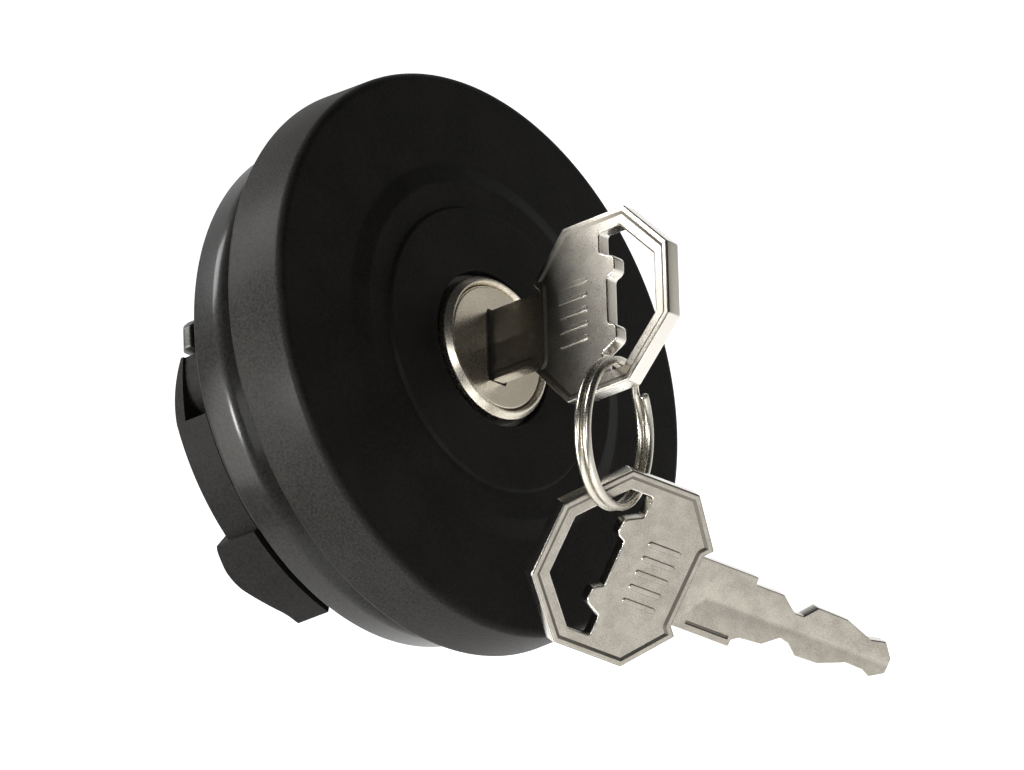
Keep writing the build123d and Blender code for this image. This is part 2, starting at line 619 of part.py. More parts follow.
def key():
    """Stamped key laid flat: the bow's end at x = 0, the thinner neck and blade along +x."""
    shoulder = BOW_HALF - BOW_END_HALF
    waist = BOW_L - BOW_NECK_SLOPE
    bow = make_face(Polyline(
        (0, -BOW_END_HALF), (shoulder, -BOW_HALF), (waist, -BOW_HALF), (BOW_L, -BOW_NECK_HALF),
        (NECK_STEP, -NECK_HALF), (NECK_STEP, NECK_HALF), (BOW_L, BOW_NECK_HALF), (waist, BOW_HALF),
        (shoulder, BOW_HALF), (0, BOW_END_HALF), close=True))
    plate = bevelled(extrude(bow, KEY_T / 2, both=True), KEY_T, KEY_EDGE)
    plate -= extrude(key_window(bow), KEY_T / 2, both=True)
    for face_at in (0, -1):
        rim = plate.faces().sort_by(Axis.Z)[face_at].inner_wires()[0].edges()
        plate = chamfer(rim, WINDOW_BEVEL)
    start = BOW_L + NECK_L
    neck = slab(NECK_STEP - OVERLAP, start, NECK_HALF, -BLADE_T / 2, BLADE_T / 2)
    upper = [(start + x, BLADE_HALF - depth) for x, depth in UPPER_CUTS]
    lower = [(start + x, depth - BLADE_HALF) for x, depth in reversed(LOWER_CUTS)]
    blade = make_face(Polyline(
        (start - OVERLAP, BLADE_HALF), *upper, (start + BLADE_L, TIP_HALF), (start + BLADE_L, -TIP_HALF),
        *lower, (start - OVERLAP, -BLADE_HALF), close=True))
    shank = bevelled(neck + extrude(blade, BLADE_T / 2, both=True), BLADE_T, BLADE_EDGE)
    groove = slab(BOW_L + GROOVE_START, start + BLADE_L, BLADE_GROOVE_W / 2,
                  BLADE_T / 2 - BLADE_GROOVE_DEPTH, KEY_T)
    return plate + shank - groove - Rot(180, 0, 0) * groove


def key_in_lock():
    """Place of the key in the lock: its neck rests on the barrel, its width on the keyway."""
    return Pos(0, 0, BOW_END_Z) * Rot(0, 0, KEYWAY_ANGLE) * Rot(0, 90, 0) * Rot(90, 0, 0)


def ring_place():
    """Place of the ring: its x axis points at the wire in the bow of the key in the lock."""
    x, inset = RING_AT_KEY
    wire = key_in_lock() * Pos(x, inset - WINDOW_HALF, 0)
    return Pos(*wire.position) * Rot(*RING_LIE) * Pos(-RING_R, 0, 0)


def spare_place():
    """Place of the spare key: the ring's wire lies in the other corner of its window."""
    x, inset = RING_AT_SPARE
    wire = ring_place() * Pos(*spot(RING_R, SPARE_ROUND_RING), 0)
    return Pos(*wire.position) * Rot(*SPARE_LIE) * Pos(-x, inset - WINDOW_HALF, 0)


def split_ring():
    """Two close turns of round wire, joined where one steps over to the other."""
    lift = WIRE_R + TURN_GAP
    arc = 360 - CROSSOVER
    lower = Pos(0, 0, -lift) * Rot(0, 0, CROSSOVER / 2) * revolve(
        Plane.XZ * Pos(RING_R, 0) * Circle(WIRE_R), Axis.Z, arc)
    upper = Pos(0, 0, 2 * lift) * lower
    a = spot(RING_R, -CROSSOVER / 2)
    b = spot(RING_R, CROSSOVER / 2)
    step = Spline((*a, -lift), (RING_R, 0, 0), (*b, lift),
                  tangents=[(-a[1], a[0], 0), (-b[1], b[0], 0)])
    wire = Plane(origin=step @ 0, z_dir=step % 0) * Circle(WIRE_R)
    return Rot(0, 0, 90) * (lower + upper + sweep(wire, path=step))


# ---- the pieces, each in its own file --------------------------------------------------------
pieces = {
    "outer_cover": outer_cover(),
    "inner_body": inner_body(),
    "lock_tube": lock_tube(),
    "neck_gasket": neck_gasket(),
    "lock_housing": lock_housing(),
    "lock_bezel": lock_bezel(),
    "lock_barrel": lock_barrel(),
    "barrel_cap": barrel_cap(),
    "barrel_seal": barrel_seal(),
    "drive_cam": drive_cam(),
    "cam_clip": cam_clip(),
    "locking_bolt": locking_bolt(),
    "rear_cover": rear_cover(),
    "vent_valve": vent_valve(),
    "key_1": key_in_lock() * key(),
    "key_2": spare_place() * key(),
    "split_ring": ring_place() * split_ring(),
}
for i, angle in enumerate(around(CAM_COUNT, 0)):
    pieces[f"bayonet_cam_{i + 1}"] = Rot(0, 0, angle) * bayonet_cam()
for i in range(WAFER_COUNT):
    pieces[f"wafer_{i + 1}"] = wafer(i)
for i, angle in enumerate(around(SCREW_COUNT, COVER_SCREW_ANGLE)):
    pieces[f"cover_screw_{i + 1}"] = Rot(0, 0, angle) * Pos(SCREW_AT, 0, PLATE_UNDER) * screw(COVER_SCREW_L)
for i, angle in enumerate(around(SCREW_COUNT, REAR_SCREW_ANGLE)):
    pieces[f"rear_screw_{i + 1}"] = Rot(0, 0, angle) * Pos(SCREW_AT, 0, RIM_UNDER) * screw(REAR_SCREW_L)

for name, solid in pieces.items():
    export_step(Rot(90, 0, 0) * solid, f"parts/{name}.step")
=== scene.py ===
# %% [markdown]
# # A locking fuel filler cap with two keys
# This lesson dresses a bayonet fuel cap: a round black cover over a moulded drum, a lock with
# a stainless face, and two stamped keys on a split ring.  The construction is already fixed in
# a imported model.  Here each piece that shows gets a finer mesh of the same form, and a finish.
#
# Every mesh is worked out in the cap's own millimetres: x to the right, y up, z out of the
# cap's face, with z = 0 on the neck's seat.  One small function turns that into the scene.

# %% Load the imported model
import bpy
import bmesh
import json
import math
from mathutils import Matrix, Vector
from mathutils.geometry import delaunay_2d_cdt


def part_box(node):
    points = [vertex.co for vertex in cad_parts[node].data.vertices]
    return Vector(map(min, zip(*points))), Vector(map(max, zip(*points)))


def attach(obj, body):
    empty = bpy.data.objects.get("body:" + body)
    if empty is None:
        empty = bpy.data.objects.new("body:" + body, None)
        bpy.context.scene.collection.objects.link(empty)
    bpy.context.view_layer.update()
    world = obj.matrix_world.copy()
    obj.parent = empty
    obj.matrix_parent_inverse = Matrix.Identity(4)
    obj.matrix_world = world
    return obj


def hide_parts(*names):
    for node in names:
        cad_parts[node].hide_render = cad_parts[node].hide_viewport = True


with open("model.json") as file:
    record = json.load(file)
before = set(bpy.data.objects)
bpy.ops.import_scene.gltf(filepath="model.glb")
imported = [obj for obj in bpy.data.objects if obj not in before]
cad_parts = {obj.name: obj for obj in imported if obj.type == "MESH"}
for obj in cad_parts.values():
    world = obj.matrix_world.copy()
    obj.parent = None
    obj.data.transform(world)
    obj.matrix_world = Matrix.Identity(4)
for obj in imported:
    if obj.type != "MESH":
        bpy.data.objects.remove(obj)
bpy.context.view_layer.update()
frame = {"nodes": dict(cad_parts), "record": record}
MM = 0.001
CAP_TO_SCENE = Matrix.Rotation(math.radians(90), 4, "X") @ Matrix.Scale(MM, 4)

# %% [markdown]
# ## Camera
# The cap is seen from its left and in front, a little from above, and the camera is rolled so that
# the round face leans over.  A very long lens far away keeps the ellipses true.  The frame is 1024
# by 770 pixels, and the camera's distance follows from the lens and from how many of them a
# millimetre takes.

# %% Camera
CAMERA_SIDE = 50.98       # degrees to the cap's left
CAMERA_HEIGHT = 11.76     # degrees above its axis
CAMERA_ROLL = -30.58
PIXELS_PER_MM = 7.3675
FRAME_PIXELS = 1024
SENSOR_MM = 36.0
LENS_MM = 703.1
FACE_HEIGHT = 21.8        # mm from the seat to the cover's rim
AIM_RIGHT = 4.00          # mm from the face's centre to the middle of the frame
AIM_UP = -4.36


def camera_axes(side, height, roll):
    """Right, up and backward directions of a camera that looks at the object."""
    a, h, r = (math.radians(v) for v in (side, height, roll))
    back = Vector((-math.sin(a) * math.cos(h), -math.cos(a) * math.cos(h), math.sin(h)))
    level = Vector((math.cos(a), -math.sin(a), 0.0))
    rise = back.cross(level)
    right = level * math.cos(r) + rise * math.sin(r)
    return right, back.cross(right), back


def set_camera():
    """Long-lens camera aimed beside the centre of the face."""
    right, up, back = camera_axes(CAMERA_SIDE, CAMERA_HEIGHT, CAMERA_ROLL)
    focal_pixels = LENS_MM / SENSOR_MM * FRAME_PIXELS
    distance = focal_pixels / PIXELS_PER_MM * MM
    aim = Vector((0, -FACE_HEIGHT * MM, 0)) + (right * AIM_RIGHT + up * AIM_UP) * MM
    data = bpy.data.cameras.new("camera")
    data.lens = LENS_MM
    data.sensor_width = SENSOR_MM
    data.clip_end = 50
    camera = bpy.data.objects.new("camera", data)
    bpy.context.scene.collection.objects.link(camera)
    turn = Matrix((right, up, back)).transposed().to_4x4()
    camera.matrix_world = Matrix.Translation(aim + back * distance) @ turn
    bpy.context.scene.camera = camera
    return right, up, back


view_right, view_up, view_back = set_camera()
bpy.context.scene.view_settings.view_transform = "Standard"
print("camera looks from", [round(v, 3) for v in view_back])

# %% [markdown]
# ## Floor and light
# The floor and the world show white to the camera.  The light itself stays plain: one soft
# lamp near the camera, one at the left behind the cover's face, which only its skirt and the
# drum can see, and a dim world.  Metal and gloss look like what they mirror, so mirrored rays
# find the white backdrop behind the object, a pale floor near it, brightest on the left, and a
# darker room elsewhere.
# A small card on the right is what the lock's stainless face mirrors, and a small lamp on the
# left draws the bright spot on the drum's side.

# %% What mirrored rays find
BEHIND_EDGE = (0.42, 0.90)    # cosine to the line of sight, where the backdrop begins and is full
ROOM = 0.03
FLOOR_DEPTH = 0.35
FLOOR_HALF = 12.0
SEEN_WHITE = 0.95
MIRRORED_NEAR = 0.20
MIRRORED_SPAN = (0.45, 1.20)  # metres from the object, where the mirrored floor falls off
BRIGHT_SPOT = (-0.45, -0.20)  # where the floor left of the cap mirrors brightest, in metres
BRIGHT_SPAN = (0.14, 0.36)
BRIGHT = 1.3
AMBIENT = 0.12


def add_node(tree, kind, settings, inputs):
    """Add a node with its settings; each input takes a value or another node's socket."""
    made = tree.nodes.new(kind)
    for name, value in settings.items():
        setattr(made, name, value)
    for name, value in inputs.items():
        if isinstance(value, bpy.types.NodeSocket):
            tree.links.new(value, made.inputs[name])
        else:
            made.inputs[name].default_value = value
    return made


def maths(tree, operation, *values):
    """Add a Math node and return its output."""
    return add_node(tree, "ShaderNodeMath", {"operation": operation},
                    dict(enumerate(values))).outputs[0]


def shader_group(name, inputs, outputs):
    """Empty shader group with named inputs (name, kind, value) and outputs (name, kind)."""
    group = bpy.data.node_groups.new(name, "ShaderNodeTree")
    for label, kind, value in inputs:
        socket = group.interface.new_socket(label, in_out="INPUT", socket_type="NodeSocket" + kind)
        if value is not None:
            socket.default_value = value
    for label, kind in outputs:
        group.interface.new_socket(label, in_out="OUTPUT", socket_type="NodeSocket" + kind)
    entry = group.nodes.new("NodeGroupInput")
    result = group.nodes.new("NodeGroupOutput")
    return group, entry.outputs, result.inputs


def backdrop_group():
    """How much of the white backdrop a direction meets: all of it straight behind the object."""
    group, given, result = shader_group("backdrop", [("Way", "Vector", None)], [("Share", "Float")])
    unit = add_node(group, "ShaderNodeVectorMath", {"operation": "NORMALIZE"}, {0: given["Way"]})
    dot = add_node(group, "ShaderNodeVectorMath", {"operation": "DOT_PRODUCT"}, {
        0: unit.outputs["Vector"], 1: -view_back})
    share = add_node(group, "ShaderNodeMapRange", {"interpolation_type": "SMOOTHSTEP"}, {
        "Value": dot.outputs["Value"], "From Min": BEHIND_EDGE[0], "From Max": BEHIND_EDGE[1]})
    group.links.new(share.outputs["Result"], result["Share"])
    return group


BACKDROP = backdrop_group()


def white_floor():
    """Pale floor below the cap; it shows white to the camera but keeps shadows."""
    mesh = bpy.data.meshes.new("floor")
    h = FLOOR_HALF
    mesh.from_pydata([(-h, -h, -FLOOR_DEPTH), (h, -h, -FLOOR_DEPTH), (h, h, -FLOOR_DEPTH),
                      (-h, h, -FLOOR_DEPTH)], [], [(0, 1, 2, 3)])
    floor = bpy.data.objects.new("floor", mesh)
    bpy.context.scene.collection.objects.link(floor)
    material = bpy.data.materials.new("pale_floor")
    material.use_nodes = True
    tree = material.node_tree
    tree.nodes.clear()
    path = add_node(tree, "ShaderNodeLightPath", {}, {}).outputs
    here = add_node(tree, "ShaderNodeTexCoord", {}, {}).outputs["Object"]
    behind = add_node(tree, "ShaderNodeGroup", {"node_tree": BACKDROP}, {
        "Way": here}).outputs["Share"]
    far = add_node(tree, "ShaderNodeVectorMath", {"operation": "LENGTH"}, {
        0: here}).outputs["Value"]
    near = add_node(tree, "ShaderNodeMapRange", {"interpolation_type": "SMOOTHSTEP"}, {
        "Value": far, "From Min": MIRRORED_SPAN[0], "From Max": MIRRORED_SPAN[1],
        "To Min": MIRRORED_NEAR, "To Max": 0.0}).outputs["Result"]
    spot = add_node(tree, "ShaderNodeVectorMath", {"operation": "DISTANCE"}, {
        0: here, 1: (*BRIGHT_SPOT, -FLOOR_DEPTH)}).outputs["Value"]
    bright = add_node(tree, "ShaderNodeMapRange", {"interpolation_type": "SMOOTHSTEP"}, {
        "Value": spot, "From Min": BRIGHT_SPAN[0], "From Max": BRIGHT_SPAN[1],
        "To Min": BRIGHT, "To Max": 0.0}).outputs["Result"]
    floor_part = maths(tree, "MAXIMUM", bright, near)
    mirrored = maths(tree, "MAXIMUM", behind, floor_part)
    seen = maths(tree, "MAXIMUM", path["Is Camera Ray"], path["Is Transmission Ray"])
    shown = maths(tree, "MULTIPLY", seen, SEEN_WHITE)
    level = maths(tree, "MULTIPLY_ADD", path["Is Glossy Ray"], mirrored, shown)
    glow = add_node(tree, "ShaderNodeEmission", {}, {"Strength": level})
    paint = add_node(tree, "ShaderNodeBsdfDiffuse", {}, {"Color": (0.85, 0.85, 0.85, 1)})
    both = add_node(tree, "ShaderNodeAddShader", {}, {0: paint.outputs[0], 1: glow.outputs[0]})
    add_node(tree, "ShaderNodeOutputMaterial", {}, {"Surface": both.outputs[0]})
    mesh.materials.append(material)


def studio_world():
    """White to the camera, a backdrop in a dark room to mirrors, and a dim even light."""
    world = bpy.data.worlds.new("studio")
    bpy.context.scene.world = world
    world.use_nodes = True
    tree = world.node_tree
    tree.nodes.clear()
    path = add_node(tree, "ShaderNodeLightPath", {}, {}).outputs
    way = add_node(tree, "ShaderNodeTexCoord", {}, {}).outputs["Generated"]
    behind = add_node(tree, "ShaderNodeGroup", {"node_tree": BACKDROP}, {
        "Way": way}).outputs["Share"]
    room = add_node(tree, "ShaderNodeMapRange", {}, {
        "Value": behind, "To Min": ROOM, "To Max": 1.0}).outputs["Result"]
    mirrored = maths(tree, "MAXIMUM", path["Is Glossy Ray"], path["Is Transmission Ray"])
    strength = add_node(tree, "ShaderNodeMix", {"data_type": "FLOAT"}, {
        "Factor": mirrored, 2: AMBIENT, 3: room}).outputs[0]
    level = maths(tree, "MAXIMUM", strength, path["Is Camera Ray"])
    light = add_node(tree, "ShaderNodeBackground", {}, {"Color": (1, 1, 1, 1), "Strength": level})
    add_node(tree, "ShaderNodeOutputWorld", {}, {"Surface": light.outputs[0]})


white_floor()
studio_world()

# %% Lamps
LAMP_DISTANCE = 1.1


def lamp(name, right, up, back, size, watts, tint=(1, 1, 1)):
    """Square soft lamp, placed by how far it lies right, up and back of the object."""
    data = bpy.data.lights.new(name, "AREA")
    data.size = size
    data.energy = watts
    data.color = tint
    way = (view_right * right + view_up * up + view_back * back).normalized()
    lamp_object = bpy.data.objects.new(name, data)
    lamp_object.location = way * LAMP_DISTANCE
    lamp_object.rotation_euler = way.to_track_quat("Z", "Y").to_euler()
    bpy.context.scene.collection.objects.link(lamp_object)


lamp("key_lamp", -0.15, 0.10, 1.0, 0.45, 3)
lamp("skirt_lamp", -0.91, -0.26, 0.23, 0.75, 10, (1.0, 0.96, 0.91))
lamp("drum_glint", -0.87, -0.15, 0.48, 0.22, 14)
lamp("top_lamp", -0.80, 0.58, -0.16, 0.45, 12)
lamp("lock_card", 0.90, 0.35, -0.22, 0.40, 0.14, (1.0, 0.92, 0.78))
print("lamps stand at", LAMP_DISTANCE, "m; mirrored room level", ROOM)

# %% [markdown]
# ## Mesh helpers
# Most of this cap is turned, pressed or moulded, so two kinds of mesh go a long way: an
# outline turned about the axis, and a flat plate with chamfered edges.  Both start from an
# outline with rounded corners.  Smooth shading with sharp creases keeps both crisp.

# %% Outlines with rounded corners
def rounded(corners, steps=5):
    """Closed outline from (u, v) or (u, v, radius) corners; each radius becomes an arc.

    A corner with a radius always gives steps + 1 points, even where its radius is zero."""
    points = []
    count = len(corners)
    for i, corner in enumerate(corners):
        here = Vector(corner[:2])
        radius = corner[2] if len(corner) > 2 else 0.0
        if radius == 0.0:
            points += [here] * (steps + 1 if len(corner) > 2 else 1)
            continue
        into = (Vector(corners[i - 1][:2]) - here).normalized()
        away = (Vector(corners[(i + 1) % count][:2]) - here).normalized()
        half = into.angle(away) / 2
        reach = radius / math.tan(half)
        centre = here + (into + away).normalized() * (radius / math.sin(half))
        first = here + into * reach - centre
        last = here + away * reach - centre
        swing = first.angle_signed(last)
        for k in range(steps + 1):
            t = -swing * k / steps
            c, s = math.cos(t), math.sin(t)
            points.append(centre + Vector((first.x * c - first.y * s, first.x * s + first.y * c)))
    return points


def finish_mesh(name, shape, material, crease=30.0, bevel=0.0, bevel_steps=2):
    """Clean a mesh, or a loose object's mesh, put it in the scene and give it its finish."""
    mesh = shape
    if isinstance(shape, bpy.types.Object):
        mesh = shape.data.copy()
        bpy.data.objects.remove(shape)
    work = bmesh.new()
    work.from_mesh(mesh)
    bmesh.ops.remove_doubles(work, verts=work.verts, dist=1e-4)
    bmesh.ops.recalc_face_normals(work, faces=work.faces)
    work.to_mesh(mesh)
    work.free()
    piece = bpy.data.objects.new(name, mesh)
    bpy.context.scene.collection.objects.link(piece)
    if bevel:
        soften = piece.modifiers.new("soft_edges", "BEVEL")
        soften.width = bevel
        soften.segments = bevel_steps
        soften.limit_method = "ANGLE"
        soften.angle_limit = math.radians(crease)
        soften.harden_normals = False
        bake_modifiers(piece)
    piece.data.transform(CAP_TO_SCENE)
    piece.data.materials.clear()
    piece.data.materials.append(material)
    piece.data.polygons.foreach_set("use_smooth", [True] * len(piece.data.polygons))
    piece.data.set_sharp_from_angle(angle=math.radians(crease))
    return piece


def bake_modifiers(piece):
    """Turn the piece's modifiers into plain mesh."""
    depsgraph = bpy.context.evaluated_depsgraph_get()
    done = bpy.data.meshes.new_from_object(piece.evaluated_get(depsgraph))
    piece.modifiers.clear()
    piece.data = done


def lathe_mesh(name, outline, segments=192):
    """Mesh of a closed (radius, height) outline turned about the cap's axis."""
    verts = []
    rings = []
    for r, z in outline:
        if r < 1e-6:
            rings.append([len(verts)] * segments)
            verts.append((0, 0, z))
            continue
        rings.append([len(verts) + k for k in range(segments)])
        for k in range(segments):
            a = 2 * math.pi * k / segments
            verts.append((r * math.cos(a), r * math.sin(a), z))
    faces = []
    for i, ring in enumerate(rings):
        other = rings[(i + 1) % len(rings)]
        for k in range(segments):
            n = (k + 1) % segments
            corners = dict.fromkeys((ring[k], ring[n], other[n], other[k]))
            if len(corners) > 2:
                faces.append(tuple(corners))
    mesh = bpy.data.meshes.new(name)
    mesh.from_pydata(verts, [], faces)
    return mesh


def round_edge(radius, depth=0.0, steps=4):
    """Profile of a rounded edge that ends on a face this far down, with a narrow flat after it."""
    turns = [math.pi / 2 * k / steps for k in range(steps + 1)]
    arc = [(radius * (1 - math.cos(a)), depth + radius * (1 - math.sin(a))) for a in turns]
    return (*arc, (radius * 1.15, depth))


def shrunk(corners, distance):
    """Corners moved to their left by a distance, with radii that keep the edge parallel."""
    moved = []
    count = len(corners)
    for i, corner in enumerate(corners):
        here = Vector(corner[:2])
        into = (here - Vector(corners[i - 1][:2])).normalized()
        away = (Vector(corners[(i + 1) % count][:2]) - here).normalized()
        left = Vector((-into.y, into.x))
        across = (left + Vector((-away.y, away.x))).normalized()
        place = here + across * (distance / across.dot(left))
        turn = into.x * away.y - into.y * away.x
        radius = [max(corner[2] - math.copysign(distance, turn), 0.0)] if len(corner) > 2 else []
        moved.append((place.x, place.y, *radius))
    return moved


def plate_mesh(name, outer, holes, low, high, profile, hole_profile, steps=4):
    """Flat plate between two heights, from corner lists.

    The outer corners run counter-clockwise and those of each hole clockwise.  A profile lists
    (inset, depth below the face) from the side inward, and serves both faces."""
    verts = []
    faces = []
    rims = {low: [], high: []}
    for corners, shape in [(outer, profile)] + [(hole, hole_profile) for hole in holes]:
        levels = [(inset, low + depth) for inset, depth in reversed(shape)]
        levels += [(inset, high - depth) for inset, depth in shape]
        lines = [rounded(shrunk(corners, inset), steps) for inset, _ in levels]
        starts = []
        for line, (_, z) in zip(lines, levels):
            starts.append(len(verts))
            verts.extend((p.x, p.y, z) for p in line)
        count = len(lines[0])
        for lower, upper in zip(starts, starts[1:]):
            for k in range(count):
                n = (k + 1) % count
                faces.append((lower + k, lower + n, upper + n, upper + k))
        rims[low].append((lines[0], starts[0]))
        rims[high].append((lines[-1], starts[-1]))
    for lines in rims.values():
        flat = [p for rim, _ in lines for p in rim]
        where = [start + k for rim, start in lines for k in range(len(rim))]
        edges = []
        base = 0
        for rim, _ in lines:
            edges += [(base + k, base + (k + 1) % len(rim)) for k in range(len(rim))]
            base += len(rim)
        _, _, cells, origin, _, _ = delaunay_2d_cdt(flat, edges, [], 0, 1e-6)
        for cell in cells:
            corners = [origin[c][0] for c in cell]
            centre = sum((flat[c] for c in corners), Vector((0, 0))) / len(corners)
            if inside(centre, lines[0][0]) and not any(inside(centre, rim) for rim, _ in lines[1:]):
                faces.append(tuple(where[c] for c in corners))
    mesh = bpy.data.meshes.new(name)
    mesh.from_pydata(verts, [], faces)
    return mesh


def inside(point, outline):
    """Whether a point lies within a closed outline."""
    within = False
    for i, b in enumerate(outline):
        a = outline[i - 1]
        if (a.y > point.y) != (b.y > point.y):
            if point.x < (b.x - a.x) * (point.y - a.y) / (b.y - a.y) + a.x:
                within = not within
    return within


print("mesh helpers are ready")

# %% [markdown]
# ## Finishes
# A few effects are shared.  Moulded plastic and stamped metal both have a fine grain, so one
# node group makes it at any size.  A second group makes faint rub marks, and a third blends
# two tones in soft patches, as handling does.  Each material places these groups with its own
# values, and keeps its shader outside them.

# %% Place a group
def place_group(tree, group, inputs):
    """Put a shader group in a material and return its outputs."""
    return add_node(tree, "ShaderNodeGroup", {"node_tree": group}, inputs).outputs


# %% Shared effects
METRE_MM = 1000.0


def grain_group():
    """Fine pits and grains of one size in millimetres, with soft patches twenty times larger."""
    group, given, result = shader_group(
        "fine_grain",
        [("Place", "Vector", None), ("Size", "Float", 0.3), ("Contrast", "Float", 0.5)],
        [("Height", "Float"), ("Waves", "Float"), ("Speckle", "Float"), ("Patches", "Float")])
    scale = maths(group, "DIVIDE", METRE_MM, given["Size"])
    fine = add_node(group, "ShaderNodeTexNoise", {}, {
        "Vector": given["Place"], "Scale": scale, "Detail": 3.0, "Roughness": 0.55})
    large = maths(group, "DIVIDE", scale, 20.0)
    soft = add_node(group, "ShaderNodeTexNoise", {}, {
        "Vector": given["Place"], "Scale": large, "Detail": 4.0, "Roughness": 0.5})
    half = maths(group, "MULTIPLY", given["Contrast"], 0.5)
    low = maths(group, "SUBTRACT", 0.5, half)
    high = maths(group, "SUBTRACT", 1.0, low)
    speckle = add_node(group, "ShaderNodeMapRange", {"interpolation_type": "SMOOTHSTEP"}, {
        "Value": fine.outputs[0], "From Min": low, "From Max": high})
    patches = add_node(group, "ShaderNodeMapRange", {"interpolation_type": "SMOOTHSTEP"}, {
        "Value": soft.outputs[0], "From Min": 0.3, "From Max": 0.7})
    group.links.new(fine.outputs[0], result["Height"])
    group.links.new(soft.outputs[0], result["Waves"])
    group.links.new(speckle.outputs[0], result["Speckle"])
    group.links.new(patches.outputs[0], result["Patches"])
    return group


def rub_group():
    """Long thin marks along one direction, seen here and there."""
    group, given, result = shader_group(
        "rub_marks", [("Place", "Vector", None), ("Turn", "Vector", None), ("Length", "Float", 6.0),
                      ("Width", "Float", 0.12), ("Amount", "Float", 0.3)],
        [("Height", "Float"), ("Mask", "Float")])
    long_scale = maths(group, "DIVIDE", METRE_MM, given["Length"])
    thin_scale = maths(group, "DIVIDE", METRE_MM, given["Width"])
    stretch = add_node(group, "ShaderNodeCombineXYZ", {}, {
        "X": long_scale, "Y": thin_scale, "Z": thin_scale})
    turned = add_node(group, "ShaderNodeVectorRotate", {"rotation_type": "EULER_XYZ"}, {
        "Vector": given["Place"], "Rotation": given["Turn"]})
    laid = add_node(group, "ShaderNodeVectorMath", {"operation": "MULTIPLY"}, {
        0: turned.outputs[0], 1: stretch.outputs[0]})
    marks = add_node(group, "ShaderNodeTexNoise", {}, {
        "Vector": laid.outputs[0], "Scale": 1.0, "Detail": 2.0, "Roughness": 0.6})
    edge = maths(group, "SUBTRACT", 0.78, given["Amount"])
    mask = add_node(group, "ShaderNodeMapRange", {"interpolation_type": "SMOOTHSTEP"}, {
        "Value": marks.outputs[0], "From Min": edge, "From Max": 0.9})
    group.links.new(marks.outputs[0], result["Height"])
    group.links.new(mask.outputs[0], result["Mask"])
    return group


def tone_group():
    """Blend of a dark and a light tone by patches and speckle, for colour that isn't flat."""
    group, given, result = shader_group(
        "two_tones", [("Dark", "Color", None), ("Light", "Color", None), ("Patches", "Float", 0.5),
                      ("Speckle", "Float", 0.5), ("Share", "Float", 0.5)],
        [("Color", "Color")])
    share = add_node(group, "ShaderNodeMix", {"data_type": "FLOAT"}, {
        "Factor": given["Share"], 2: given["Patches"], 3: given["Speckle"]})
    blend = add_node(group, "ShaderNodeMix", {"data_type": "RGBA"}, {
        "Factor": share.outputs[0], 6: given["Dark"], 7: given["Light"]})
    group.links.new(blend.outputs[2], result["Color"])
    return group


FINE_GRAIN = grain_group()
RUB_MARKS = rub_group()
TWO_TONES = tone_group()
print("shared effects:", [g.name for g in (FINE_GRAIN, RUB_MARKS, TWO_TONES)])

# %% One finish
BUMP_MM = 0.001


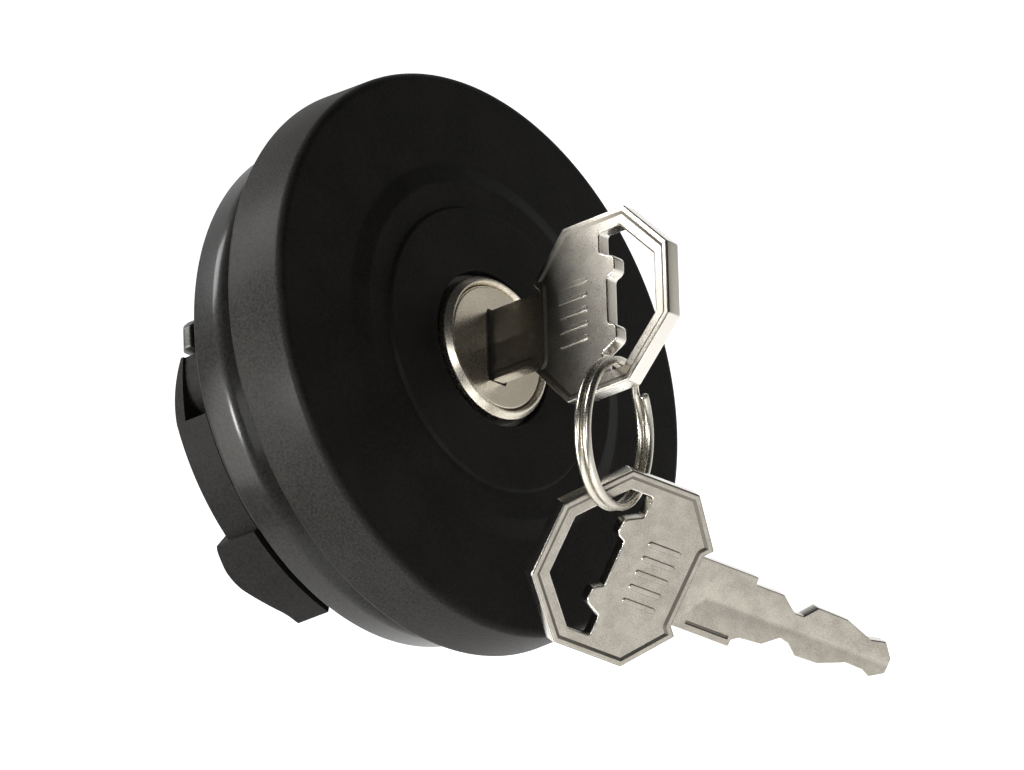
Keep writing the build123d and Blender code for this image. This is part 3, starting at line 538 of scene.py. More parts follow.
def finish_material(name, dark, light, rough, grain_mm, depth_mm, contrast=0.5, share=0.5,
                    metallic=0.0, specular=0.5, coat=(0.0, 0.2), uneven=0.0, rub=None, edge=None,
                    groove=None):
    """Material with grain and two tones; rub adds marks, edge recolours the marked faces: burnish
    on the keys' edges, painted sheen on the cover's skirt.

    rough is (smooth, rough); coat is (weight, roughness); uneven is the share of slow waves in
    the surface's height; rub is (turn, length, width, amount, change of roughness); edge and
    groove are (colour, roughness, evenness) where the mesh's edge attribute is 1 or -1."""
    material = bpy.data.materials.new(name)
    material.use_nodes = True
    tree = material.node_tree
    tree.nodes.clear()
    place = add_node(tree, "ShaderNodeTexCoord", {}, {}).outputs["Object"]
    grain = place_group(tree, FINE_GRAIN, {"Place": place, "Size": grain_mm, "Contrast": contrast})
    colour = place_group(tree, TWO_TONES, {
        "Dark": (*dark, 1), "Light": (*light, 1), "Patches": grain["Patches"],
        "Speckle": grain["Speckle"], "Share": share})["Color"]
    roughness = add_node(tree, "ShaderNodeMapRange", {}, {
        "Value": grain["Speckle"], "To Min": rough[0], "To Max": rough[1]}).outputs[0]
    height = add_node(tree, "ShaderNodeMix", {"data_type": "FLOAT"}, {
        "Factor": uneven, 2: grain["Height"], 3: grain["Waves"]}).outputs[0]
    shine = add_node(tree, "ShaderNodeMapRange", {}, {
        "Value": grain["Speckle"], "To Min": specular * 0.6, "To Max": specular * 1.4}).outputs[0]
    if rub:
        turn, length, width, amount, change = rub
        marks = place_group(tree, RUB_MARKS, {
            "Place": place, "Turn": turn, "Length": length, "Width": width, "Amount": amount})
        roughness = maths(tree, "MULTIPLY_ADD", marks["Mask"], change, roughness)
        height = add_node(tree, "ShaderNodeMix", {"data_type": "FLOAT"}, {
            "Factor": 0.3, 2: height, 3: marks["Height"]}).outputs[0]
    for side, look in ((1.0, edge), (-1.0, groove)):
        if look:
            marked = add_node(tree, "ShaderNodeAttribute", {"attribute_name": "edge"}, {})
            share = add_node(tree, "ShaderNodeMath", {"operation": "MULTIPLY", "use_clamp": True}, {
                0: marked.outputs["Fac"], 1: side}).outputs[0]
            worn = add_node(tree, "ShaderNodeMapRange", {}, {
                "Value": grain["Speckle"], "To Min": look[2], "To Max": 1.0}).outputs[0]
            share = maths(tree, "MULTIPLY", share, worn)
            colour = add_node(tree, "ShaderNodeMix", {"data_type": "RGBA"}, {
                "Factor": share, 6: colour, 7: (*look[0], 1)}).outputs[2]
            roughness = add_node(tree, "ShaderNodeMix", {"data_type": "FLOAT"}, {
                "Factor": share, 2: roughness, 3: look[1]}).outputs[0]
    bump = add_node(tree, "ShaderNodeBump", {}, {
        "Height": height, "Distance": depth_mm * BUMP_MM, "Strength": 1.0})
    shader = add_node(tree, "ShaderNodeBsdfPrincipled", {}, {
        "Base Color": colour, "Roughness": roughness, "Normal": bump.outputs[0],
        "Metallic": metallic, "Specular IOR Level": shine,
        "Coat Weight": coat[0], "Coat Roughness": coat[1]})
    add_node(tree, "ShaderNodeOutputMaterial", {}, {"Surface": shader.outputs[0]})
    return material


# %% [markdown]
# The cover and the drum are both black plastic.  The cover is finely grained and satin; the
# drum is smoother, so it catches more light, and its cams are rubbed dull by the neck.  The
# keys are nickel-plated and their faces keep the rough skin of the blank, while their edges
# are burnished.  The lock's face is stainless.

# %% Finishes of the pieces
FINISHES = {
    # The cover's edge colour is a painted sheen: the skirt is painted greyer where it catches
    # glancing light.
    "cover_plastic": finish_material("cover_plastic", (0.0080, 0.0076, 0.0072),
                                     (0.0150, 0.0140, 0.0130),
                                     (0.42, 0.62), 0.36, 0.075, specular=0.05, coat=(0.04, 0.30),
                                     edge=((0.040, 0.0375, 0.0340), 0.56, 0.1)),
    "body_plastic": finish_material("body_plastic", (0.0045, 0.0043, 0.0041),
                                    (0.0085, 0.0080, 0.0074),
                                    (0.42, 0.54), 0.40, 0.016, specular=0.11, coat=(0.25, 0.19)),
    "cam_plastic": finish_material("cam_plastic", (0.0045, 0.0042, 0.0039),
                                   (0.0090, 0.0083, 0.0076),
                                   (0.58, 0.72), 0.40, 0.020, specular=0.12),
    "gasket_rubber": finish_material("gasket_rubber", (0.010, 0.010, 0.010), (0.018, 0.017, 0.016),
                                     (0.62, 0.80), 0.5, 0.015, specular=0.25),
    # The barrel's zinc is painted dark, a painted shade for the keyway seen through the slot.
    "lock_zinc": finish_material("lock_zinc", (0.12, 0.12, 0.12), (0.20, 0.20, 0.20),
                                 (0.42, 0.58), 0.4, 0.012, metallic=1.0),
    "bolt_zinc": finish_material("bolt_zinc", (0.05, 0.05, 0.048), (0.085, 0.083, 0.078),
                                 (0.40, 0.55), 0.35, 0.010, metallic=1.0),
    "lock_steel": finish_material("lock_steel", (0.66, 0.61, 0.51), (0.80, 0.745, 0.64),
                                  (0.24, 0.34), 0.25, 0.006, metallic=1.0, uneven=0.4,
                                  rub=((0.0, 0.7, 0.4), 5.0, 0.10, 0.25, 0.10)),
    "cam_steel": finish_material("cam_steel", (0.50, 0.50, 0.49), (0.62, 0.61, 0.59),
                                 (0.30, 0.42), 0.3, 0.008, metallic=1.0),
    "screw_steel": finish_material("screw_steel", (0.40, 0.40, 0.40), (0.55, 0.55, 0.54),
                                   (0.28, 0.40), 0.3, 0.006, metallic=1.0),
    "wafer_brass": finish_material("wafer_brass", (0.62, 0.45, 0.20), (0.72, 0.54, 0.27),
                                   (0.25, 0.38), 0.3, 0.006, metallic=1.0),
    # The keys' pressed lines are painted darker and rougher than their faces.
    "key_nickel": finish_material("key_nickel", (0.24, 0.22, 0.185), (0.49, 0.46, 0.405),
                                  (0.25, 0.40), 0.12, 0.040, metallic=1.0, uneven=0.55, share=0.7,
                                  rub=((0.3, 0.2, 0.8), 7.0, 0.15, 0.22, -0.08),
                                  edge=((0.78, 0.755, 0.70), 0.18, 1.0),
                                  groove=((0.15, 0.14, 0.12), 0.5, 1.0)),
    "ring_steel": finish_material("ring_steel", (0.46, 0.435, 0.37), (0.62, 0.59, 0.52),
                                  (0.20, 0.32), 0.15, 0.010, metallic=1.0, uneven=0.4),
}
print("finishes:", len(FINISHES))

# %% [markdown]
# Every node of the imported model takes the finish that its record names, so what no finer
# piece replaces is dressed as well: the barrel, its wafers, the cam and the clip.

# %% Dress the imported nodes
for entry in frame["record"]["subparts"]:
    packed = frame["nodes"][entry["node"]]
    packed.data.materials.clear()
    packed.data.materials.append(FINISHES[entry["material_slot"]])


# %% [markdown]
# ## Putting a piece in place
# A finished piece sits on the spot of the imported node that it replaces and rides on the same
# body.  One function says both.

# %% Take a node's place
PLACED = []


def stands_for(piece, body, slot, *nodes):
    """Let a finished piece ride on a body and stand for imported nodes."""
    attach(piece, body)
    if nodes:
        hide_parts(*nodes)
    PLACED.append(piece.name)
    print(piece.name, "has", len(piece.data.polygons), "faces")


def cut(piece, tool, operation="DIFFERENCE"):
    """Cut one mesh object with another, or join them, and remove the tool."""
    change = piece.modifiers.new("cut", "BOOLEAN")
    change.operation = operation
    change.solver = "EXACT"
    change.object = tool
    bake_modifiers(piece)
    bpy.data.objects.remove(tool)


def loose(name, mesh):
    """Mesh object in cap millimetres, ready to be cut or joined."""
    work = bmesh.new()
    work.from_mesh(mesh)
    bmesh.ops.remove_doubles(work, verts=work.verts, dist=1e-4)
    bmesh.ops.recalc_face_normals(work, faces=work.faces)
    work.to_mesh(mesh)
    work.free()
    made = bpy.data.objects.new(name, mesh)
    bpy.context.scene.collection.objects.link(made)
    return made


def node_span(node):
    """A round node's outer radius and its rear and front heights, in cap millimetres."""
    low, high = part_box(node)
    return high.x / MM, -high.y / MM, -low.y / MM


# %% [markdown]
# ## What repeats round the axis
# The cams, the rear screws and the ribs all repeat round the cap's axis.  A Geometry Nodes
# tree places copies of a mesh on a circle.  Each copy can also turn about itself by a random
# angle with a fixed seed, as screws do when they are driven home.

# %% Geometry Nodes ring
TURN = 2 * math.pi


def round_group():
    """Copies of the incoming mesh on a circle, turned to face outward, then realized."""
    group = bpy.data.node_groups.new("copies_round_the_axis", "GeometryNodeTree")
    face = group.interface
    face.new_socket("Geometry", in_out="INPUT", socket_type="NodeSocketGeometry")
    for label, kind in (("Count", "Int"), ("Radius", "Float"), ("First", "Float"),
                        ("Height", "Float"), ("Own Turn", "Float"), ("Seed", "Int"),
                        ("Finish", "Material")):
        face.new_socket(label, in_out="INPUT", socket_type="NodeSocket" + kind)
    face.new_socket("Geometry", in_out="OUTPUT", socket_type="NodeSocketGeometry")
    given = group.nodes.new("NodeGroupInput").outputs
    points = add_node(group, "GeometryNodePoints", {}, {"Count": given["Count"]})
    index = add_node(group, "GeometryNodeInputIndex", {}, {}).outputs[0]
    share = maths(group, "DIVIDE", index, given["Count"])
    angle = maths(group, "MULTIPLY_ADD", share, TURN, given["First"])
    along = maths(group, "COSINE", angle)
    across = maths(group, "SINE", angle)
    direction = add_node(group, "ShaderNodeCombineXYZ", {}, {"X": along, "Y": across})
    spot = add_node(group, "ShaderNodeVectorMath", {"operation": "SCALE"}, {
        0: direction.outputs[0], "Scale": given["Radius"]})
    lift = add_node(group, "ShaderNodeCombineXYZ", {}, {"Z": given["Height"]})
    place = add_node(group, "ShaderNodeVectorMath", {"operation": "ADD"}, {
        0: spot.outputs[0], 1: lift.outputs[0]})
    moved = add_node(group, "GeometryNodeSetPosition", {}, {
        "Geometry": points.outputs[0], "Position": place.outputs[0]})
    chance = add_node(group, "FunctionNodeRandomValue", {"data_type": "FLOAT"}, {
        2: 0.0, 3: given["Own Turn"], "Seed": given["Seed"]}).outputs[1]
    whole = add_node(group, "ShaderNodeCombineXYZ", {}, {"Z": angle})
    own = add_node(group, "ShaderNodeCombineXYZ", {}, {"Z": chance})
    copies = add_node(group, "GeometryNodeInstanceOnPoints", {}, {
        "Points": moved.outputs[0], "Instance": given["Geometry"], "Rotation": whole.outputs[0]})
    spun = add_node(group, "GeometryNodeRotateInstances", {}, {
        "Instances": copies.outputs[0], "Rotation": own.outputs[0]})
    real = add_node(group, "GeometryNodeRealizeInstances", {}, {"Geometry": spun.outputs[0]})
    dressed = add_node(group, "GeometryNodeSetMaterial", {}, {
        "Geometry": real.outputs[0], "Material": given["Finish"]})
    result = group.nodes.new("NodeGroupOutput")
    group.links.new(dressed.outputs[0], result.inputs["Geometry"])
    return group


ROUND = round_group()


def copy_round(piece, count, first, finish, radius=0.0, height=0.0, own_turn=0.0, seed=1):
    """Run the ring of copies on a piece and keep the result as plain mesh."""
    values = {"Count": count, "Radius": radius, "First": first, "Height": height,
              "Own Turn": own_turn, "Seed": seed, "Finish": FINISHES[finish]}
    ring = piece.modifiers.new("ring", "NODES")
    ring.node_group = ROUND
    for item in ROUND.interface.items_tree:
        if item.in_out == "INPUT" and item.name in values:
            ring[item.identifier] = values[item.name]
    bake_modifiers(piece)


print("ring of copies has", len(ROUND.nodes), "nodes")

# %% Blocks, rods and prisms
def box_mesh(name, x, y, z):
    """Plain block mesh between pairs of x, y and z, for cutting or joining."""
    corners = [(a, b, c) for c in z for b in y for a in x]
    faces = [(0, 2, 3, 1), (4, 5, 7, 6), (0, 1, 5, 4), (2, 6, 7, 3), (0, 4, 6, 2), (1, 3, 7, 5)]
    mesh = bpy.data.meshes.new(name)
    mesh.from_pydata(corners, [], faces)
    return mesh


def rod_mesh(name, radius, low, high, at=(0, 0), sides=32):
    """Closed rod mesh along the axis, for joining or cutting."""
    side = [Vector(p) for p in ((0, low), (radius, low), (radius, high), (0, high))]
    mesh = lathe_mesh(name, side, sides)
    mesh.transform(Matrix.Translation((at[0], at[1], 0)))
    return mesh


def prism_mesh(name, outline, low, high):
    """Straight prism on a flat outline, for cutting."""
    count = len(outline)
    verts = [(p.x, p.y, z) for z in (low, high) for p in outline]
    faces = [tuple(range(count))[::-1], tuple(range(count, 2 * count))]
    faces += [(k, (k + 1) % count, count + (k + 1) % count, count + k) for k in range(count)]
    mesh = bpy.data.meshes.new(name)
    mesh.from_pydata(verts, [], faces)
    return mesh


print("blocks, rods and prisms are ready")

# %% [markdown]
# ## The cover
# The cover is one moulding: a slightly crowned face, a low plateau with a thin step round the
# lock, and a skirt that flares a little.  It is turned from its outline, with a land behind it
# that rests on the drum, and three bosses for the screws that hold the drum are joined on.
# The skirt is painted greyer than the face, a painted sheen for the glancing light it catches, and
# is made rougher, so an attribute marks it.
# The rounded rim matters most, because it draws the bright line along the cap's edge.

# %% Outer cover
COVER_RIM_R = 40.0
COVER_WALL = 2.4
SKIRT_FROM = 2.4          # the skirt begins this far in front of the drum
RIM_HEIGHT = 9.8
CROWN = 0.5
PLATEAU_R = 24.0
PLATEAU_RAMP = 2.6
STEP_R = 20.0
STEP_H = 0.6
LOCK_HOLE_R = 11.0
LAND_R = (32.0, 33.4)
SCREWS = 3
SCREW_AT = 24.4           # from the axis
COVER_SCREWS_FROM = math.radians(75)
BOSS_R = 3.0
PILOT_R = 1.42
PILOT_SHORT = 0.8         # the pilot hole stops this far under the face
WEB_T = 1.2
WEB_RISE = 2.0
JOIN = 0.4                # joined shapes run this far into each other
RIM_FADE = 1.5
SKIRT_SHEEN = 0.3               # how far the skirt's painted sheen lightens it towards its edge colour


def paint_skirt_sheen(cover):
    """Let the edge attribute mark the skirt's painted sheen, fading out over the rounded rim."""
    mark = cover.data.attributes.new("edge", "FLOAT", "CORNER")
    for polygon in cover.data.polygons:
        at = polygon.center / MM
        outside = math.hypot(at.x, at.z) > COVER_RIM_R - RIM_FADE
        value = SKIRT_SHEEN * max(0.0, 1 - RIM_FADE * abs(polygon.normal.y)) if outside else 0.0
        for corner in polygon.loop_indices:
            mark.data[corner].value = value


def make_cover():
    """Crowned cover turned from its outline, with soft corners wherever the mould has them."""
    rear_r, land_z, front = node_span("outer_cover")
    skirt_z = land_z + SKIRT_FROM
    face_z = skirt_z + RIM_HEIGHT
    under = face_z - COVER_WALL
    inner = COVER_RIM_R - COVER_WALL
    ramp_r = PLATEAU_R + PLATEAU_RAMP
    outline = rounded([
        (LOCK_HOLE_R, front - PLATEAU_RAMP), (PLATEAU_R - STEP_H, front - PLATEAU_RAMP),
        (ramp_r - STEP_H, under), (LAND_R[0], under), (LAND_R[0], land_z), (LAND_R[1], land_z),
        (LAND_R[1], under), (inner, under, 1.0), (inner, skirt_z, 0.3), (rear_r, skirt_z, 0.6),
        (COVER_RIM_R, face_z, 1.25), (ramp_r, face_z + CROWN, 2.0),
        (PLATEAU_R, front - STEP_H, 1.6), (STEP_R + 0.32, front - STEP_H, 0.08),
        (STEP_R, front, 0.22), (LOCK_HOLE_R, front, 0.18)], 8)
    cover = loose("cover", lathe_mesh("cover", outline, 288))
    boss = loose("boss", rod_mesh("boss", BOSS_R, land_z, front - PLATEAU_RAMP + JOIN))
    web = box_mesh("web", (0, LAND_R[0] + JOIN - SCREW_AT), (-WEB_T / 2, WEB_T / 2),
                   (land_z + WEB_RISE, under + JOIN))
    cut(boss, loose("web", web), "UNION")
    cut(boss, loose("pilot", rod_mesh("pilot", PILOT_R, land_z - 1, under - PILOT_SHORT)))
    copy_round(boss, SCREWS, COVER_SCREWS_FROM, "cover_plastic", SCREW_AT)
    cut(cover, boss, "UNION")
    cover = finish_mesh("cover", cover, FINISHES["cover_plastic"])
    paint_skirt_sheen(cover)
    return cover


stands_for(make_cover(), "cap", "cover_plastic", "outer_cover")

# %% [markdown]
# ## The drum
# Behind the cover is the drum: a wall with a large soft shoulder, a flange for the gasket and
# a narrower spigot that enters the neck.  A groove runs round inside the wall, which keeps the
# moulding thin, and ribs cross it.  Inside are bosses for the rear screws and a guide for the
# bolt, which leaves the spigot through a window.

# %% Drum
WALL = 2.4
SPIGOT_R = 29.5
SPIGOT_WALL = 2.5
SPIGOT_DEPTH = 4.5
SEAT = 1.6                # the flange's rear face, on the gasket
FLANGE_R = 35.8
FLANGE_T = 2.6
DRAFT = 0.6
SHOULDER = (1.9, 2.9)     # how far the soft shoulder comes in and goes down
POCKET_R = (29.4, 32.0)
RIB_T = 1.2
RIB_COUNT = 12
RIB_DROP = 1.0
RIBS_FROM = math.radians(15)
TUBE_BORE_R = 11.1
BOLT_ANGLE = math.radians(135)
BOLT_HOLE = (5.1, 2.6)    # width and height of the bolt's window
BOLT_TOP = -0.05
GUIDE_FROM = 12.1
GUIDE_WALL = 1.6
REAR_SCREWS_FROM = math.radians(45)
REAR_BOSS_LOW = -2.85
REAR_PILOT_SHORT = 2.0
SCREW_HOLE_R = 1.6


def make_drum():
    """Drum, flange and spigot in one turned wall, with ribs, bosses and the bolt's window."""
    _, _, top = node_span("inner_body")
    cavity_r = SPIGOT_R - SPIGOT_WALL
    shell = rounded([
        (cavity_r, -SPIGOT_DEPTH, 0.15), (SPIGOT_R, -SPIGOT_DEPTH, 0.3), (SPIGOT_R, SEAT, 0.1),
        (FLANGE_R, SEAT, 0.4), (FLANGE_R + DRAFT, top - SHOULDER[1], 3.0),
        (FLANGE_R + DRAFT - SHOULDER[0], top, 0.9), (POCKET_R[1], top, 0.15),
        (POCKET_R[1], SEAT + FLANGE_T), (POCKET_R[0], SEAT + FLANGE_T), (POCKET_R[0], top, 0.15),
        (TUBE_BORE_R, top), (TUBE_BORE_R, top - WALL), (cavity_r, top - WALL)], 10)
    drum = loose("drum", lathe_mesh("drum", shell, 288))
    rib = box_mesh("rib", (POCKET_R[0] - JOIN, POCKET_R[1] + JOIN), (-RIB_T / 2, RIB_T / 2),
                   (SEAT + FLANGE_T - JOIN, top - RIB_DROP))
    rib = loose("rib", rib)
    copy_round(rib, RIB_COUNT, RIBS_FROM, "body_plastic")
    cut(drum, rib, "UNION")
    plate = top - WALL
    boss = loose("boss", rod_mesh("boss", BOSS_R, REAR_BOSS_LOW, plate + JOIN))
    pilot = rod_mesh("pilot", PILOT_R, REAR_BOSS_LOW - 1, plate - REAR_PILOT_SHORT)
    cut(boss, loose("pilot", pilot))
    copy_round(boss, SCREWS, REAR_SCREWS_FROM, "body_plastic", SCREW_AT)
    cut(drum, boss, "UNION")
    hole = loose("hole", rod_mesh("hole", SCREW_HOLE_R, plate - 1, top + 1))
    copy_round(hole, SCREWS, COVER_SCREWS_FROM, "body_plastic", SCREW_AT)
    cut(drum, hole)
    half = BOLT_HOLE[0] / 2
    bolt_low = BOLT_TOP - BOLT_HOLE[1]
    wide = half + GUIDE_WALL
    guide = box_mesh("guide", (GUIDE_FROM, cavity_r + JOIN), (-wide, wide),
                     (bolt_low, plate + JOIN))
    way = box_mesh("way", (GUIDE_FROM - 1, SPIGOT_R + 1), (-half, half),
                   (bolt_low - 0.01, BOLT_TOP))
    for shape in (guide, way):
        shape.transform(Matrix.Rotation(BOLT_ANGLE, 4, "Z"))
    cut(drum, loose("guide", guide), "UNION")
    cut(drum, loose("way", way))
    return finish_mesh("drum", drum, FINISHES["body_plastic"])


stands_for(make_drum(), "cap", "body_plastic", "inner_body")

# %% [markdown]
# ## The bayonet cams
# Two cams on the spigot hold the cap in its neck.  Each one is a stop block with a deeper lug
# at one side and a thin ramp at the other, which draws the neck's tab in.  They are built as
# bands: at each small step of angle a band has an inner and an outer radius and two heights.
# That follows the round wall exactly, and the Bevel modifier then softens every edge.

# %% Bands of wall
BAND_STEP = 1.0           # degrees


def band_mesh(name, first, last, inner, outer, low, high):
    """Closed band between two angles; inner, outer, low and high may depend on the angle."""
    def at(value, angle):
        return value(angle) if callable(value) else value
    count = max(2, math.ceil((last - first) / BAND_STEP))
    verts = []
    for k in range(count + 1):
        angle = first + (last - first) * k / count
        c, s = math.cos(math.radians(angle)), math.sin(math.radians(angle))
        for radius, height in ((inner, low), (outer, low), (outer, high), (inner, high)):
            r = at(radius, angle)
            verts.append((r * c, r * s, at(height, angle)))
    faces = [(0, 3, 2, 1), tuple(4 * count + i for i in (0, 1, 2, 3))]
    for k in range(count):
        for i in range(4):
            n = (i + 1) % 4
            faces.append((4 * k + i, 4 * k + n, 4 * k + 4 + n, 4 * k + 4 + i))
    mesh = bpy.data.meshes.new(name)
    mesh.from_pydata(verts, [], faces)
    return mesh


def stepped(points):
    """Height that runs through (angle, height) points with soft turns between them."""
    def height(angle):
        for (a0, z0), (a1, z1) in zip(points, points[1:]):
            if angle <= a1:
                t = min(max((angle - a0) / (a1 - a0), 0.0), 1.0)
                return z0 + (z1 - z0) * t
        return points[-1][1]
    return height


# %% Bayonet cams
CAMS = 2
CAM_R = 34.0
LUG_R = 35.0
CAM_DEPTH = 5.4
CAM_ANGLES = (155.0, 184.0)
LUG_LAST = 211.0
LUG_SHAPE = ((184.0, -6.9), (185.2, -7.35), (189.6, -8.12), (191.4, -8.3), (193.8, -8.3),
             (196.2, -8.1), (206.0, -5.85), (207.7, -5.6), (211.0, -5.6))
LEAD_FIRST = 140.5
LEAD_LIFT = 2.8
LEAD_STRAP = 1.6
LEAD_TIP = 0.4
LEAD_FLOOR = (30.8, 33.6)   # radius of the notch's floor at the block and at the tip
CAM_ROOT = 27.4
CAM_WALL = 1.3
CORE_TOP = -1.4
EDGE_SOFT = 0.5


def lead_rear(angle):
    """Rear face of the ramp: it rises gently at first and more steeply towards its tip."""
    t = (CAM_ANGLES[0] - angle) / (CAM_ANGLES[0] - LEAD_FIRST)
    return -CAM_DEPTH + LEAD_LIFT * (0.35 * t + 0.65 * t * t)


def lead_front(angle):
    """Front face of the ramp, which narrows to its tip."""
    t = (CAM_ANGLES[0] - angle) / (CAM_ANGLES[0] - LEAD_FIRST)
    return (LEAD_STRAP - CAM_DEPTH) * (1 - t) + (LEAD_LIFT + LEAD_TIP - CAM_DEPTH) * t


def lead_floor(angle):
    """The notch's floor above the ramp, which deepens towards the stop block."""
    t = (CAM_ANGLES[0] - angle) / (CAM_ANGLES[0] - LEAD_FIRST)
    return LEAD_FLOOR[0] + (LEAD_FLOOR[1] - LEAD_FLOOR[0]) * (1 - (1 - t) ** 3)


def make_cam():
    """One cam at its own angle: block, cored lug, ramp and the notch's floor."""
    start, end = CAM_ANGLES
    lug_low = stepped(LUG_SHAPE)
    cam = loose("cam", band_mesh("cam", start, end + 0.5, CAM_ROOT, CAM_R, -CAM_DEPTH, 0))
    cut(cam, loose("lug", band_mesh("lug", end, LUG_LAST, CAM_ROOT, LUG_R, lug_low, 0)), "UNION")
    for first, last, outer in ((start + 4.5, end - 2.2, CAM_R), (end + 2.2, LUG_LAST - 4.5, LUG_R)):
        core = band_mesh("core", first, last, SPIGOT_R - 0.02, outer - CAM_WALL, -9, CORE_TOP)
        cut(cam, loose("core", core))
    lead = band_mesh("lead", LEAD_FIRST, start + 0.5, SPIGOT_R - 0.2, CAM_R, lead_rear, lead_front)
    cut(cam, loose("lead", lead), "UNION")
    floor = band_mesh("floor", LEAD_FIRST, start + 0.5, SPIGOT_R - 0.2, lead_floor, lead_rear, 0)
    cut(cam, loose("floor", floor), "UNION")
    cut(cam, loose("spigot", rod_mesh("spigot", SPIGOT_R, -SPIGOT_DEPTH, SEAT, sides=288)))
    return cam


cams = make_cam()
copy_round(cams, CAMS, 0.0, "cam_plastic")
cams = finish_mesh("bayonet_cams", cams, FINISHES["cam_plastic"], bevel=EDGE_SOFT)
stands_for(cams, "cap", "body_plastic", "bayonet_cam_1", "bayonet_cam_2")

# %% [markdown]
# ## The gasket
# A flat rubber ring between the flange and the neck.  Its corners are barely rounded, and a
# shallow bead runs round its rear face where it seals.

# %% Gasket
BEAD_R = 32.3
BEAD_W = 0.5
BEAD_H = 0.12


def make_gasket():
    """Flat ring with barely rounded corners and a bead on its rear face."""
    outer, rear, front = node_span("neck_gasket")
    inner = SPIGOT_R + 0.2
    outline = rounded([
        (inner, rear, 0.2), (BEAD_R - BEAD_W, rear, 0.1), (BEAD_R - BEAD_W, rear + BEAD_H, 0.05),
        (BEAD_R + BEAD_W, rear + BEAD_H, 0.05), (BEAD_R + BEAD_W, rear, 0.1), (outer, rear, 0.25),
        (outer, front, 0.25), (inner, front, 0.2)], 4)
    return finish_mesh("gasket", lathe_mesh("gasket", outline, 256), FINISHES["gasket_rubber"])


stands_for(make_gasket(), "cap", "gasket_rubber", "neck_gasket")

# %% [markdown]
# ## The rear cover and its valve
# From behind, a dished cover closes the spigot.  Three screws hold its rim, and a small
# rubber valve sits over four vent holes.  The dish is turned; its holes are cut with rods.

# %% Rear cover
REAR_WALL = 1.6
DISH_R = 21.8
VALVE_AT = -12.0
VENT_AT = 3.0
VENT_R = 0.7
VENTS = 4
STEM_HOLE_R = 1.45


def make_rear_cover():
    """Turned dish with holes for its screws, the vents and the valve's stem."""
    rim_r, floor, rim_top = node_span("rear_cover")
    rim_under = rim_top - REAR_WALL
    dish_in = DISH_R - REAR_WALL
    outline = rounded([
        (0, floor), (DISH_R, floor, 1.5), (DISH_R, rim_under, 0.4), (rim_r, rim_under, 0.3),
        (rim_r, rim_top, 0.15), (dish_in, rim_top, 0.4), (dish_in, floor + REAR_WALL, 0.8),
        (0, floor + REAR_WALL)], 6)
    cover = loose("rear_dish", lathe_mesh("rear_dish", outline, 192))
    for k in range(SCREWS):
        a = REAR_SCREWS_FROM + TURN * k / SCREWS
        at = (SCREW_AT * math.cos(a), SCREW_AT * math.sin(a))
        cut(cover, loose("hole", rod_mesh("hole", SCREW_HOLE_R, rim_under - 1, rim_top + 1, at)))
    for k in range(VENTS):
        a = TURN * (k + 0.5) / VENTS
        at = (VENT_AT * math.cos(a), VALVE_AT + VENT_AT * math.sin(a))
        vent = rod_mesh("vent", VENT_R, floor - 1, floor + REAR_WALL + 1, at, 20)
        cut(cover, loose("vent", vent))
    stem = rod_mesh("stem", STEM_HOLE_R, floor - 1, floor + REAR_WALL + 1, (0, VALVE_AT))
    cut(cover, loose("stem", stem))
    return finish_mesh("rear_dish", cover, FINISHES["body_plastic"])


stands_for(make_rear_cover(), "cap", "body_plastic", "rear_cover")

# %% Vent valve
def make_valve():
    """Rubber umbrella: a bulb behind the cover, a stem through it and a thin lip inside."""
    _, floor, _ = node_span("rear_cover")
    inside = floor + REAR_WALL
    outline = rounded([
        (0, floor - 1.2), (1.0, floor - 1.2, 0.3), (1.9, floor - 0.02, 0.25), (1.4, floor - 0.02),
        (1.4, inside + 0.02), (4.5, inside + 0.02), (4.5, inside + 0.3, 0.12),
        (1.4, inside + 0.9, 0.4), (0, inside + 0.9)], 5)
    mesh = lathe_mesh("valve", outline, 64)
    mesh.transform(Matrix.Translation((0, VALVE_AT, 0)))
    return finish_mesh("valve", mesh, FINISHES["gasket_rubber"])


stands_for(make_valve(), "cap", "gasket_rubber", "vent_valve")

# %% [markdown]
# ## The rear screws
# Three self-tapping screws with pan heads.  One is built in detail, with a cross recess and a
# thread cut as stacked grooves, and the ring of copies places all three, each turned by its own
# chance angle.

# %% Rear screws
SCREW_R = 1.4
SCREW_LENGTH = 8.0
SCREW_SEED = 7            # each screw stops at its own turn
HEAD_R = 2.4
HEAD_T = 1.7
THREAD_PITCH = 0.9
THREAD_DEPTH = 0.22
CROSS_HALF = 0.3
CROSS_REACH = 1.45
CROSS_DEPTH = 0.95


def make_screw(length):
    """Pan-head screw seated at height zero and pointing up, with a recess and a thread."""
    corners = [(0, length), (0, -HEAD_T), (HEAD_R, -HEAD_T, 1.0), (HEAD_R, 0, 0.1), (SCREW_R, 0)]
    turns = int((length - 1.6) / THREAD_PITCH)
    for k in range(turns):
        z = 0.5 + k * THREAD_PITCH
        root = SCREW_R - THREAD_DEPTH
        corners += [(SCREW_R, z), (root, z + 0.35), (root, z + 0.5), (SCREW_R, z + 0.8)]
    screw = loose("screw", lathe_mesh("screw", rounded(corners, 5), 40))
    for angle in (0, math.pi / 2):
        arm = box_mesh("arm", (-CROSS_REACH, CROSS_REACH), (-CROSS_HALF, CROSS_HALF),
                       (-HEAD_T - 1, -HEAD_T + CROSS_DEPTH))
        arm.transform(Matrix.Rotation(angle, 4, "Z"))
        cut(screw, loose("arm", arm))
    return screw


_, _, rim_top = node_span("rear_cover")
screws = make_screw(SCREW_LENGTH)
copy_round(screws, SCREWS, REAR_SCREWS_FROM, "screw_steel", SCREW_AT,
           rim_top - REAR_WALL, TURN / 4, SCREW_SEED)
screws = finish_mesh("rear_screws", screws, FINISHES["screw_steel"])
stands_for(screws, "cap", "screw_steel", "rear_screw_1", "rear_screw_2", "rear_screw_3")

